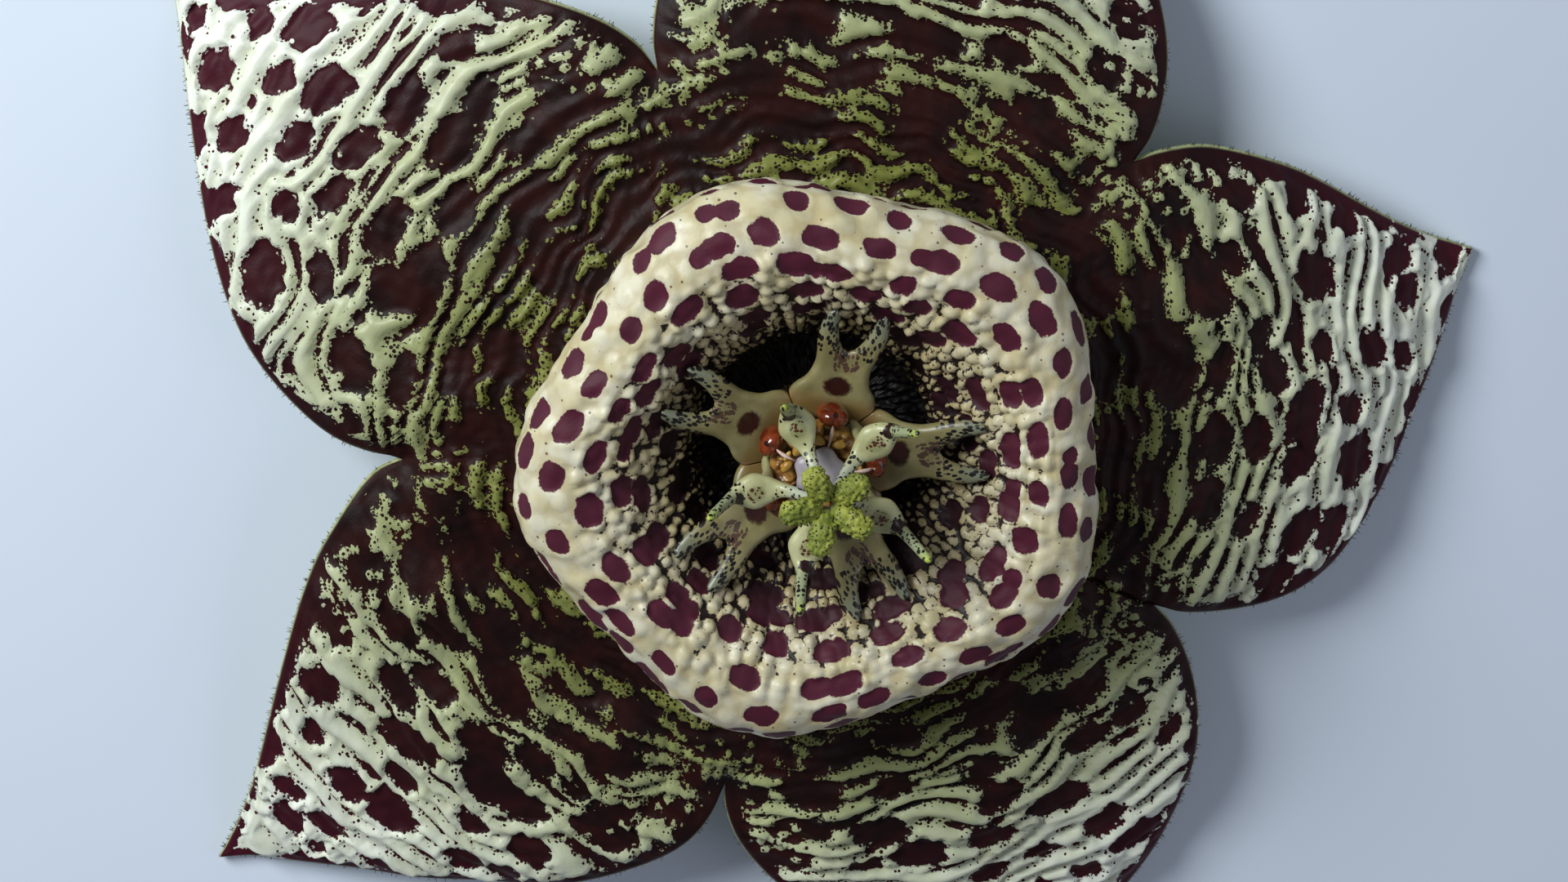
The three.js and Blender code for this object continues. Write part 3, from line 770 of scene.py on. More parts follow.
def make_lobes():
    piece = finished(lobes_shape(), "corolla_lobes", ["corolla"], LOBE_SKIN, doubles=0)
    points, outward, top = corners(piece), normals(piece), layer_of(piece, "top")
    lobe = lobe_of(points)
    edge = edge_distance(points, lobe)
    fields = lobe_pattern(points, lobe, edge)
    on_top = smooth(top, 0.7, 1.0)
    points += outward * (fields.pop("relief") * on_top)[:, None]
    return settle(piece, points, top=top, **fields)


ANNULUS_SKIN_FIELD = Skin(23, 0.0, 24.0, SHEET_STEP)
ANNULUS_COLUMNS, ANNULUS_ROWS = 600, 118
ANNULUS_CURVE = flowing(ANNULUS, 400)
ANNULUS_LENGTH = float(np.linalg.norm(np.diff(ANNULUS_CURVE, axis=0), axis=1).sum())


def annulus_shape():
    bm = bmesh.new()
    way = bm.verts.layers.float.new("way")

    def outside(u, v):
        angle = u * 2 * math.pi
        radius, height = along(ANNULUS_CURVE, v).T
        return np.column_stack([polar(cornered(radius, angle), angle), height]), [v]
    mapped_grid(bm, ANNULUS_COLUMNS, ANNULUS_ROWS, outside, [way])

    base = flowing(ANNULUS_BASE, 100)

    def under(u, v):
        angle = u * 2 * math.pi
        radius, height = along(base, v).T
        return np.column_stack([polar(cornered(radius, angle), angle), height]), [1.0]
    mapped_grid(bm, ANNULUS_COLUMNS, 5, under, [way])
    return bm


# Each row of spots: its radius, its way up from the groove, and how many spots.
SPOT_ROWS = [(13.8, 1.75, 33), (14.1, 3.45, 35), (13.3, 5.2, 32), (11.8, 6.95, 28), (10.2, 8.6, 24),
             (9.0, 10.1, 20), (8.0, 11.5, 16), (7.2, 12.9, 13), (6.6, 14.3, 11)]
# The crest's way up from the groove, and how far in from it the throat turns black.
CREST_WAY, THROAT_WAY = 7.4, 10.5
LUMP, BEAD = 1.0, 0.64
LUMP_HEIGHT, BEAD_HEIGHT = 0.075, 0.3
GAP_LEVEL = ([0.0, 0.05, 0.2, 0.6, 0.85, 1.0], [-0.8, -0.2, 0.06, 0.17, 0.3, 0.6])


def annulus_spots():
    """Maroon spots round the annulus: angle, way along the profile, radius and the two half sizes."""
    rng = np.random.default_rng(77)
    spots = []
    for row, (radius, distance, count) in enumerate(SPOT_ROWS):
        offset = rng.uniform(0, 1)
        for j in range(count):
            turn = (j + offset + rng.normal(0, 0.13)) / count * 2 * math.pi
            place = ANNULUS_LENGTH - distance + rng.normal(0, 0.2)
            long_side = rng.uniform(0.52, 0.82) * (1 + 0.035 * row)
            short_side = rng.uniform(0.47, 0.62) * (1 + 0.02 * row)
            spots.append((turn, place, radius, long_side, short_side))
            if rng.random() < 0.2 and row > 0:
                spots.append((turn + 0.95 / radius, place + rng.normal(0, 0.12), radius, 0.5, 0.45))
    return spots


def make_annulus():
    piece = finished(annulus_shape(), "corolla_annulus", ["corolla"], ANNULUS_SKIN, MERGE)
    points, outward, way = corners(piece), normals(piece), layer_of(piece, "way")
    angle = np.arctan2(points[:, 1], points[:, 0])
    distance = way * ANNULUS_LENGTH
    field = ANNULUS_SKIN_FIELD
    fret = field.at(field.blobs(0.8, 1.2, 12.0), angle, distance)
    swell = field.at(field.blobs(3.0, 1.0, 12.0, 0.5), angle, distance)
    bulge = field.at(field.blobs(1.5, 1.3, 12.0, 0.35), angle, distance)
    crest_way = ANNULUS_LENGTH - CREST_WAY
    inward = smooth(crest_way + 0.6 - distance, 0.0, THROAT_WAY)

    def domes(size, centre_radius, seed):
        count = round(2 * math.pi * centre_radius / size)
        return cells(angle / (2 * math.pi) * count, distance / size, count, seed)
    big_near, _, big_number = domes(LUMP, 12.5, 3)
    small_near, small_next, small_number = domes(BEAD, 8.6, 8)

    spot = np.full(len(points), -9.0)
    for turn, place, ring, long_side, short_side in annulus_spots():
        away = np.angle(np.exp(1j * (angle - turn))) * ring
        near = np.abs(away) < 2.0
        shape = (np.abs(away[near] / long_side) ** 2.3
                 + np.abs((distance[near] - place) / short_side) ** 2.3) ** (1 / 2.3)
        spot[near] = np.maximum(spot[near], 1.0 - shape)
    spot = spot + 0.05 * fret
    fine = smooth(crest_way + 0.9 - distance, 0.0, 2.2)
    big_dome = np.clip(1 - (big_near / 0.62) ** 2, 0, 1) * (0.6 + 0.6 * big_number)
    small_dome = np.clip(1 - (small_near / 0.62) ** 2, 0, 1) * (0.5 + 0.9 * small_number)
    flat = smooth(spot, -0.15, 0.15)
    rise = ((1 - fine) * LUMP_HEIGHT * big_dome + fine * BEAD_HEIGHT * small_dome) * (1 - 0.8 * flat)
    relief = rise + 0.05 * swell + 0.04 * bulge * (1 - fine) - 0.05 * flat
    shown = smooth(distance, 0.0, 0.6) * smooth(ANNULUS_LENGTH - distance, 0.0, 1.0)
    level = np.interp(inward, *GAP_LEVEL)
    gap = np.clip(np.maximum(level - (small_next - small_near), small_near - 0.62 + 0.6 * level), -1, 1)
    gap = gap + 0.15 * (small_number - 0.6) * inward
    return settle(piece, points + outward * (relief * shown)[:, None], spot=np.clip(spot, -1.0, 1.0),
                  gap=gap, inward=inward, rise=(1 - fine) * big_dome + fine * small_dome)


# ---- Margin hairs --------------------------------------------------------------------------------------

HAIR_SPACING = 0.2
HAIR_LENGTH = (0.12, 0.32)
HAIR_ROOT, HAIR_TIP, HAIR_SIDES = 0.03, 0.008, 4
HAIR_LEAN = 0.35


def fill_hair(recipe, vector):
    tone = recipe.noise(vector, 900, 2.0)
    return {"Base Color": recipe.shade(tone, 0.45, 0.55, "1c0c12", "4a3038")}


def make_hairs():
    """Short stiff hairs that stand out from the lobes' margins, with none right at a sinus or a tip."""
    rng = np.random.default_rng(41)
    bm = bmesh.new()
    for k in range(PETALS):
        for side in (0, 1):
            margin = SIDES[k][side]
            length = np.linalg.norm(np.diff(margin, axis=0), axis=1).sum()
            shares = np.sort(rng.uniform(0.05, 0.985, int(length / HAIR_SPACING)))
            place, ahead = along(margin, shares), along(margin, shares + 0.01)
            lobes = np.full(len(shares), k)
            height = lobe_height(place, lobes, np.zeros(len(shares)))
            for point, nearby, top in zip(place, ahead, height):
                step = nearby - point
                out = Vector((step[1], -step[0], 0)).normalized() * (1 if side == 0 else -1)
                lean = Vector([rng.normal(0, HAIR_LEAN) for _ in range(3)])
                way = (out + lean).normalized()
                long = rng.uniform(*HAIR_LENGTH)
                root = Vector((*point, max(top - 0.25, 0.15))) + out * 0.1
                turn = way.to_track_quat("Z", "Y").to_matrix().to_4x4()
                bmesh.ops.create_cone(bm, cap_ends=True, segments=HAIR_SIDES, radius1=HAIR_ROOT,
                                      radius2=HAIR_TIP, depth=long,
                                      matrix=Matrix.Translation(root + way * (long / 2)) @ turn)
    material = skin_material("margin_hair", fill_hair, Roughness=0.5)
    piece = finished(bm, "margin_hairs", None, material, doubles=0)
    settle(piece, corners(piece))


# ---- Gynostegium ---------------------------------------------------------------------------------------

OUTER_ANGLE, INNER_ANGLE = math.radians(4.2), math.radians(40.2)

# Half of a forked lobe in plan: its outer edge from the column to the tip of its prong, and its inner
# edge from the fork to the same tip.
FORKED_EDGE = [(1.95, 1.35), (2.5, 1.78), (3.05, 2.14), (3.6, 1.98), (4.2, 1.55), (5.0, 1.38), (5.7, 1.46),
               (6.4, 1.62), (7.3, 1.66), (8.0, 1.52), (8.25, 1.25)]
FORK_EDGE = [(5.95, 0.0), (6.1, 0.3), (6.8, 0.68), (7.6, 0.9), (8.1, 1.05), (8.25, 1.25)]
FORKED_BASE, FORKED_RISE, FORKED_THICKNESS = 9.63, 0.34, 0.74
FORKED_ROUNDING, FORKED_CHANNEL = 0.4, 0.14
WIDEST = 3.1

# A horned lobe from the tip of its outer horn to the club of its inner horn: along, height, half width
# and half thickness.
HORNED = [(5.64, 16.75, 0.02, 0.02), (5.6, 16.6, 0.15, 0.15), (5.3, 16.0, 0.24, 0.22),
          (4.8, 15.1, 0.27, 0.25), (4.4, 14.4, 0.34, 0.32), (3.95, 14.0, 0.68, 0.38),
          (3.3, 13.9, 0.92, 0.42), (2.6, 13.9, 0.68, 0.36), (2.0, 14.1, 0.38, 0.3), (1.3, 14.7, 0.27, 0.25),
          (0.8, 15.5, 0.28, 0.26), (0.56, 16.2, 0.42, 0.34), (0.9, 16.78, 0.5, 0.4),
          (1.6, 17.05, 0.5, 0.4), (2.15, 17.1, 0.42, 0.34), (2.42, 17.12, 0.02, 0.02)]
HORNED_FOOT = [(2.5, 10.75, 0.5, 0.25), (2.5, 12.0, 0.42, 0.25), (2.7, 13.0, 0.5, 0.35),
               (3.0, 13.8, 0.6, 0.4)]
NECTAR = {"along": 2.75, "height": 11.7, "radii": (0.55, 0.78, 0.95)}
ANTHER_HEIGHT, ANTHER_THICKNESS, ANTHER_HALF_ANGLE = 11.55, 0.45, math.radians(31.0)
RAIL = [(2.5, 12.5, 0.01, 0.01), (2.4, 12.66, 0.07, 0.07), (2.1, 12.8, 0.1, 0.1),
        (1.75, 12.8, 0.06, 0.06), (1.4, 12.7, 0.01, 0.01)]
# A pollinium and its short arm, on each side: way out from the axis, half sizes and turn in degrees.
POLLINIA = [(1.72, (0.36, 0.22, 0.2), 65), (1.88, (0.16, 0.1, 0.1), 30)]
POLLINIA_SPREAD, POLLINIA_HEIGHT = math.radians(17), 12.6
# Radius and height of the style head's top, from its edge to its middle, and of its under side.
STYLE_TOP = [(1.05, 12.25), (1.28, 12.55), (1.1, 12.86), (0.62, 13.0), (0.25, 13.02), (0.0, 12.97)]
STYLE_UNDER = [(1.05, 12.25), (0.5, 12.25), (0.0, 12.25)]


def round_the_axis(name, node, first, material, shape):
    """Five pieces round the axis, each standing for its own node; shape(bm, k) makes the k-th along +X."""
    for k in range(PETALS):
        bm = bmesh.new()
        shape(bm, k)
        nodes = [f"{node}_{k + 1}"] if node else None
        piece = finished(bm, f"{name}_{k + 1}", nodes, material)
        settle(piece, turned(corners(piece), first + k * FIFTH))


def float_layers(bm, *names):
    return [bm.verts.layers.float.get(name) or bm.verts.layers.float.new(name) for name in names]


# How much the share counts beside the sizes in millimetres when a tube's line is evened.
SHARE_STEP = 0.01


def tube(bm, stations, sides, rows, swell=None, square=2.0, first_share=0):
    """A tube through oval stations (along, height, half widths), closed where they shrink to nothing.

    Its share layer goes up by one with each station, across is in millimetres and up runs from -1 to 1.
    """
    stations = np.asarray(stations, float)
    numbered = np.column_stack([stations[:, 0], np.zeros(len(stations)), stations[:, 1:],
                                np.arange(len(stations)) * SHARE_STEP])
    line = flowing(numbered, 400)
    forward = np.gradient(line[:, :3], axis=0)
    forward /= np.linalg.norm(forward, axis=1, keepdims=True)
    sideways = np.cross(np.cross(forward, (0.0, 1.0, 0.0)), forward)
    sideways /= np.linalg.norm(sideways, axis=1, keepdims=True)
    upwards = np.cross(forward, sideways)
    upwards *= np.sign(upwards[len(line) // 2, 2])
    table = np.column_stack([line, sideways, upwards])

    def around(u, v):
        at = along(table, v)
        turn = 2 * math.pi * u
        cos, sin = np.cos(turn), np.sin(turn)
        cos, sin = np.sign(cos) * np.abs(cos) ** (2 / square), np.sign(sin) * np.abs(sin) ** (2 / square)
        extra = 0.0 if swell is None else swell(turn, at[:, 5] / SHARE_STEP) * smooth(at[:, 3], 0.02, 0.2)
        side = (at[:, 3] * cos * (1 + extra))[:, None] * at[:, 6:9]
        up = (at[:, 4] * sin * (1 + extra))[:, None] * at[:, 9:12]
        return at[:, :3] + side + up, [at[:, 5] / SHARE_STEP + first_share, at[:, 3] * cos, sin]
    mapped_grid(bm, sides, rows, around, float_layers(bm, "share", "across", "up"))


def pillow(bm, columns, rows, plan, top, bottom):
    """Two grids over the same plan that meet where their heights do."""
    for height in (top, bottom):
        def face(u, v, height=height):
            flat = plan(u, v)
            return np.column_stack([flat, height(flat, u, v)]), [flat[:, 0], flat[:, 1]]
        mapped_grid(bm, columns, rows, face, float_layers(bm, "along", "across"))


def forked_lobe(bm, k):
    outer, fork = flowing(FORKED_EDGE, 200), flowing(FORK_EDGE, 120)
    rng = np.random.default_rng(300 + k)
    wander = rng.normal(0, 0.05, 2)
    free_edge = np.vstack([outer[outer[:, 0] > WIDEST], fork])

    def plan(side):
        def place(u, v):
            x = FORKED_EDGE[0][0] + (FORKED_EDGE[-1][0] - FORKED_EDGE[0][0]) * np.sin(v * math.pi / 2)
            inner_y = np.where(x < FORK_EDGE[0][0], 0.0, np.interp(x, fork[:, 0], fork[:, 1]))
            outer_y = np.interp(x, outer[:, 0], outer[:, 1])
            y = inner_y + (outer_y - inner_y) * (0.5 - 0.5 * np.cos(math.pi * u))
            return np.column_stack([x, side * y])
        return place

    def height(direction):
        def at(flat, u, v):
            x, y = flat[:, 0], np.abs(flat[:, 1])
            gap = np.sqrt(((np.column_stack([x, y])[:, None] - free_edge[None]) ** 2).sum(-1).min(axis=1))
            gap = np.where((v > 0.999) | (u > 0.999) | ((u < 0.001) & (x > FORK_EDGE[0][0])), 0.0, gap)
            round_off = np.sqrt(1 - (1 - np.clip(gap / FORKED_ROUNDING, 0, 1)) ** 2)
            middle = FORKED_BASE + FORKED_THICKNESS / 2 + FORKED_RISE * (x - FORKED_EDGE[0][0])
            prong = smooth(x, 5.6, 8.2)
            middle = middle + prong * np.where(flat[:, 1] > 0, wander[0], wander[1]) * 3
            channel = FORKED_CHANNEL * np.exp(-(y / 0.55) ** 2)
            channel = channel * smooth(x, 3.2, 4.4) * smooth(7.0 - x, 0.0, 1.2)
            thick = FORKED_THICKNESS / 2 * (1 - 0.3 * prong)
            return middle + direction * round_off * (thick - (channel if direction > 0 else 0))
        return at
    for side in (1, -1):
        pillow(bm, 18, 64, plan(side), height(1), height(-1))


def horned_lobe(bm, k):
    rng = np.random.default_rng(400 + k)
    stations = np.array(HORNED)
    stations[0:4, 0] += rng.normal(0, 0.12)
    stations[-4:, 1] += rng.normal(0, 0.08)

    def warts(turn, share):
        """Blunt warts on the club and a few on the tip of the outer horn."""
        near, _, number = cells(turn / (2 * math.pi) * 15, share * 2.6 + k * 7, 15, 60 + k)
        bump = np.clip(1 - (near / 0.62) ** 2, 0, 1) * (0.6 + 0.6 * number)
        return bump * (0.38 * smooth(share, 10.6, 12.0) + 0.15 * smooth(2.4 - share, 0.0, 1.2))
    tube(bm, stations, 60, 170, warts, 2.3)
    tube(bm, HORNED_FOOT, 20, 12, first_share=5)


def nectar_cushion(bm, k):
    """An egg-shaped cushion with a groove down its inner side, where the guide rail ends."""
    rx, ry, rz = NECTAR["radii"]

    def place(u, v):
        turn, tilt = u * 2 * math.pi, (v - 0.5) * math.pi
        cos, sin = np.cos(tilt), np.sin(tilt)
        x, y = rx * cos * np.cos(turn), ry * cos * np.sin(turn)
        groove = 0.16 * np.exp(-(y / 0.14) ** 2) * smooth(sin, 0.2, 0.8) * smooth(0.25 - x, 0.0, 0.3)
        z = rz * np.sign(sin) * np.abs(sin) ** 0.8 - groove
        return np.column_stack([x + NECTAR["along"], y, z + NECTAR["height"]]), [x, y]
    mapped_grid(bm, 40, 24, place, float_layers(bm, "along", "across"))


def anther_pad(bm, k):
    """Two thecae side by side, each with a thin wing towards its guide rail."""
    def plan(u, v):
        return polar(1.05 + 1.35 * v, ANTHER_HALF_ANGLE * (2 * u - 1))

    def rim(u, v):
        across, way = 1 - np.abs(2 * u - 1), 1 - np.abs(2 * v - 1)
        return np.sqrt(np.clip(np.minimum(across * 3.2, way * 2.2), 0, 1))

    def top(flat, u, v):
        across = np.abs(2 * u - 1)
        wing = 0.4 * np.exp(-((across - 0.82) / 0.13) ** 2) * np.sin(math.pi * np.clip(v, 0, 1)) ** 0.7
        theca = 0.26 * np.exp(-((across - 0.42) / 0.2) ** 2)
        fold = 0.05 * np.sin(v * 14 + across * 6)
        return ANTHER_HEIGHT + rim(u, v) * (ANTHER_THICKNESS + wing + theca + fold)

    def bottom(flat, u, v):
        return ANTHER_HEIGHT - ANTHER_THICKNESS * rim(u, v)
    pillow(bm, 48, 24, plan, top, bottom)


def guide_rail(bm, k):
    tube(bm, RAIL, 12, 20)


def pollen_masses(bm, k):
    for side in (-1, 1):
        for along_axis, radii, turn in POLLINIA:
            matrix = (Matrix.Rotation(POLLINIA_SPREAD * side, 4, "Z")
                      @ Matrix.Translation((along_axis, 0, POLLINIA_HEIGHT))
                      @ Matrix.Rotation(math.radians(turn * side), 4, "Z") @ Matrix.Diagonal((*radii, 1)))
            bmesh.ops.create_uvsphere(bm, u_segments=18, v_segments=12, radius=1, matrix=matrix)
    knot = Matrix.Translation((1.9, 0, 12.66)) @ Matrix.Diagonal((0.13, 0.3, 0.12, 1))
    bmesh.ops.create_uvsphere(bm, u_segments=16, v_segments=10, radius=1, matrix=knot)


def style_cap(bm):
    """The style head: a low disc with five faint lobes."""
    for points, count, rows in ((STYLE_TOP, 60, 18), (STYLE_UNDER, 30, 4)):
        profile = flowing(points, count)

        def place(u, v, profile=profile):
            radius, height = along(profile, v).T
            turn = u * 2 * math.pi
            lobed = 1 + 0.1 * np.cos(PETALS * (turn - OUTER_ANGLE)) * smooth(radius, 0.3, 1.0)
            return np.column_stack([polar(radius * lobed, turn), height]), []
        mapped_grid(bm, 60, rows, place)


def dashes(recipe, along_it, across_it, stretch, scale, size, density):
    """Dark dashes that run along a lobe."""
    vector = recipe.put("ShaderNodeCombineXYZ", {
        "X": recipe.sum("MULTIPLY", along_it, stretch), "Y": across_it, "Z": 0.37}).outputs[0]
    return speckles(recipe, vector, scale, size, density)


def oval(recipe, along_it, across_it, centre, long, wide):
    """1 in the middle of an oval mark on a lobe and 0 at its edge."""
    x = recipe.sum("DIVIDE", recipe.sum("SUBTRACT", along_it, centre), long)
    y = recipe.sum("DIVIDE", across_it, wide)
    squares = recipe.sum("ADD", recipe.sum("MULTIPLY", x, x), recipe.sum("MULTIPLY", y, y))
    return recipe.sum("SUBTRACT", 1.0, recipe.sum("SQRT", squares))


def fill_forked(recipe, vector):
    along_it, across_it = recipe.attribute("along"), recipe.attribute("across")
    ragged = recipe.ragged(vector, 5000)
    tone = recipe.noise(vector, 700, 3.0)
    flesh = recipe.shade(tone, 0.35, 0.65, "978d62", "80764c")
    flesh = recipe.blend(recipe.step(along_it, 6.2, 7.6), flesh, colour("7c7f68"))
    flesh = recipe.blend(recipe.step(along_it, 2.7, 3.7, 1.0, 0.0), flesh, colour("80653a"))
    cluster = oval(recipe, along_it, across_it, 5.5, 0.95, 0.95)
    marks = dashes(recipe, along_it, across_it, 0.6, 5.2, 0.8, recipe.step(cluster, 0.0, 0.6, 0.0, 0.9))
    flesh = recipe.blend(recipe.sum("MULTIPLY", marks, 0.85), flesh, colour("4a2428"))
    dots = dashes(recipe, along_it, across_it, 0.55, 5.4, 0.6, recipe.step(along_it, 5.4, 6.3, 0.0, 0.95))
    flesh = recipe.blend(dots, flesh, colour("120a0a"))
    blotch = oval(recipe, along_it, across_it, 3.95, 0.62, 0.78)
    dark = recipe.step(recipe.sum("MULTIPLY_ADD", ragged, 0.5, blotch), -0.06, 0.3)
    flesh = recipe.blend(dark, flesh, colour("32130e"))
    return {"Base Color": flesh, "Normal": grain(recipe, vector, 9000.0, 0.25, 0.00003),
            "Roughness": recipe.step(tone, 0.3, 0.7, 0.32, 0.42)}


def fill_horned(recipe, vector):
    share, across_it, up = recipe.attribute("share"), recipe.attribute("across"), recipe.attribute("up")
    tone = recipe.noise(vector, 900, 3.0)
    ragged = recipe.ragged(vector, 5000)
    flesh = recipe.shade(tone, 0.35, 0.65, "c3c192", "aeab7a")
    flesh = recipe.blend(recipe.step(share, 3.2, 4.8, 1.0, 0.0), flesh, colour("a0a782"))
    flesh = recipe.blend(recipe.step(share, 0.6, 2.4, 1.0, 0.0), flesh, colour("a9b84a"))
    flesh = recipe.blend(recipe.step(share, 7.8, 9.2), flesh, colour("b4b8a2"))
    warty = recipe.step(share, 10.4, 11.6)
    club = recipe.shade(tone, 0.3, 0.7, "5f6b1c", "a6aa46")
    flesh = recipe.blend(warty, flesh, club)
    body = recipe.sum("MULTIPLY", recipe.step(share, 4.6, 5.4), recipe.step(share, 7.0, 8.0, 1.0, 0.0))
    density = recipe.sum("MULTIPLY", recipe.sum("MULTIPLY_ADD", body, -1.0, 0.85),
                         recipe.sum("SUBTRACT", 1.0, warty))
    specks = speckles(recipe, vector, 6800.0, 0.45, recipe.sum("MULTIPLY", warty, 0.55))
    flesh = recipe.blend(specks, flesh, colour("1d2210"))
    dots = speckles(recipe, vector, 4400.0, 0.52, density)
    flesh = recipe.blend(dots, flesh, colour("130b10"))
    cluster = oval(recipe, recipe.sum("MULTIPLY", share, 0.6), across_it, 3.6, 0.55, 0.5)
    grains = speckles(recipe, vector, 5600.0, 0.6, recipe.step(cluster, 0.0, 0.5, 0.0, 0.95))
    olive = recipe.sum("MULTIPLY", recipe.step(cluster, 0.0, 0.4, 0.0, 0.55), recipe.step(up, 0.1, 0.5))
    flesh = recipe.blend(olive, flesh, colour("7f8152"))
    flesh = recipe.blend(recipe.sum("MULTIPLY", grains, recipe.step(up, 0.1, 0.5)), flesh, colour("56281c"))
    blotch = oval(recipe, share, recipe.sum("ADD", across_it, -0.1), 4.25, 0.62, 0.34)
    dark = recipe.step(recipe.sum("MULTIPLY_ADD", ragged, 0.5, blotch), 0.0, 0.15)
    flesh = recipe.blend(dark, flesh, colour("2a0f12"))
    return {"Base Color": flesh, "Normal": grain(recipe, vector, 9000.0, 0.25, 0.00003),
            "Roughness": recipe.step(warty, 0.0, 1.0, 0.38, 0.62),
            "Coat Weight": recipe.step(warty, 0.0, 1.0, 0.2, 0.0)}


def fill_nectar(recipe, vector):
    along_it, across_it = recipe.attribute("along"), recipe.attribute("across")
    tone = recipe.noise(vector, 1500, 3.0)
    red = recipe.shade(tone, 0.3, 0.7, "571c0a", "843614")
    dot = recipe.step(oval(recipe, along_it, across_it, 0.3, 0.14, 0.14), 0.0, 0.2)
    return {"Base Color": recipe.blend(dot, red, colour("240a06")),
            "Normal": recipe.bump(recipe.noise(vector, 2600, 2.0), 0.2, 0.00006)}


def fill_anther(recipe, vector):
    tone = recipe.noise(vector, 1400, 4.0, 0.6)
    streak = recipe.noise(vector, 4200, 3.0, 0.6)
    amber = recipe.shade(tone, 0.32, 0.66, "6e3c14", "b07f3c")
    amber = recipe.blend(recipe.step(streak, 0.5, 0.7, 0.0, 0.6), amber, colour("cbac74"))
    return {"Base Color": amber, "Normal": recipe.bump(streak, 0.35, 0.00006)}


def fill_pollen(recipe, vector):
    tone = recipe.noise(vector, 2200, 3.0)
    gold = recipe.shade(tone, 0.3, 0.7, "a87526", "c9a250")
    return {"Base Color": gold, "Normal": recipe.bump(tone, 0.3, 0.00005)}


def fill_rail(recipe, vector):
    tone = recipe.noise(vector, 2200, 3.0)
    return {"Base Color": recipe.shade(tone, 0.3, 0.7, "c99a92", "ecd6cc")}


def fill_style(recipe, vector):
    tone = recipe.noise(vector, 900, 3.0)
    return {"Base Color": recipe.shade(tone, 0.3, 0.7, "9a8f9c", "bdb4b8"),
            "Normal": grain(recipe, vector, 9000.0, 0.3, 0.00003)}


def fill_column(recipe, vector):
    tone = recipe.noise(vector, 700, 3.0)
    flecks = speckles(recipe, vector, 2600.0, 0.34, 0.4)
    flesh = recipe.shade(tone, 0.3, 0.7, "b3a376", "8f7c50")
    return {"Base Color": recipe.blend(flecks, flesh, colour("43201a")),
            "Normal": grain(recipe, vector, 8000.0, 0.3, 0.00004)}


# ---- Calyx and stalk -----------------------------------------------------------------------------------

STALK_ANGLE = math.radians(293.4)
STALK_RADIUS, STALK_BEND, STALK_LENGTH, STALK_SWING = 1.25, 3.1, 17.0, 1.1
NECK_RADIUS, RECEPTACLE_RADIUS, RECEPTACLE_TOP = 1.55, 2.1, 4.7
SEPAL_FROM, SEPAL_TO, SEPAL_HALF, SEPAL_HEIGHT, SEPAL_RISE = 2.6, 8.6, 1.65, 4.35, 0.06


def sepal_blade(bm, k):
    share = np.linspace(0, 1, 9)
    reach = SEPAL_FROM + (SEPAL_TO - SEPAL_FROM) * share
    wide = SEPAL_HALF * np.maximum(0.02, np.sin(math.pi * (0.28 + 0.72 * share)) ** 0.9)
    thick = (0.25 - 0.13 * share) * np.where(share == 1, 0.05, 1)
    height = SEPAL_HEIGHT + SEPAL_RISE * (reach - SEPAL_FROM)
    stations = np.column_stack([reach, height, wide, thick])
    base = (SEPAL_FROM - 0.04, SEPAL_HEIGHT, 0.02, 0.02)

    def keel(turn, share_of):
        return 0.12 * np.exp(-(np.cos(turn) / 0.25) ** 2) * (np.sin(turn) < 0)
    tube(bm, np.vstack([base, stations]), 36, 40, keel)


def fill_green(recipe, vector):
    tone = recipe.noise(vector, 500, 3.0)
    green = recipe.shade(tone, 0.32, 0.68, "8f9e68", "a9a878")
    flush = recipe.step(recipe.noise(vector, 260, 2.0), 0.5, 0.75, 0.0, 0.6)
    green = recipe.blend(flush, green, colour("7a4a52"))
    flecks = speckles(recipe, vector, 2800.0, 0.3, 0.45)
    green = recipe.blend(recipe.sum("MULTIPLY", flecks, 0.8), green, colour("4c1c2c"))
    return {"Base Color": green, "Normal": grain(recipe, vector, 6000.0, 0.35, 0.00006),
            "Roughness": recipe.step(tone, 0.3, 0.7, 0.45, 0.6)}


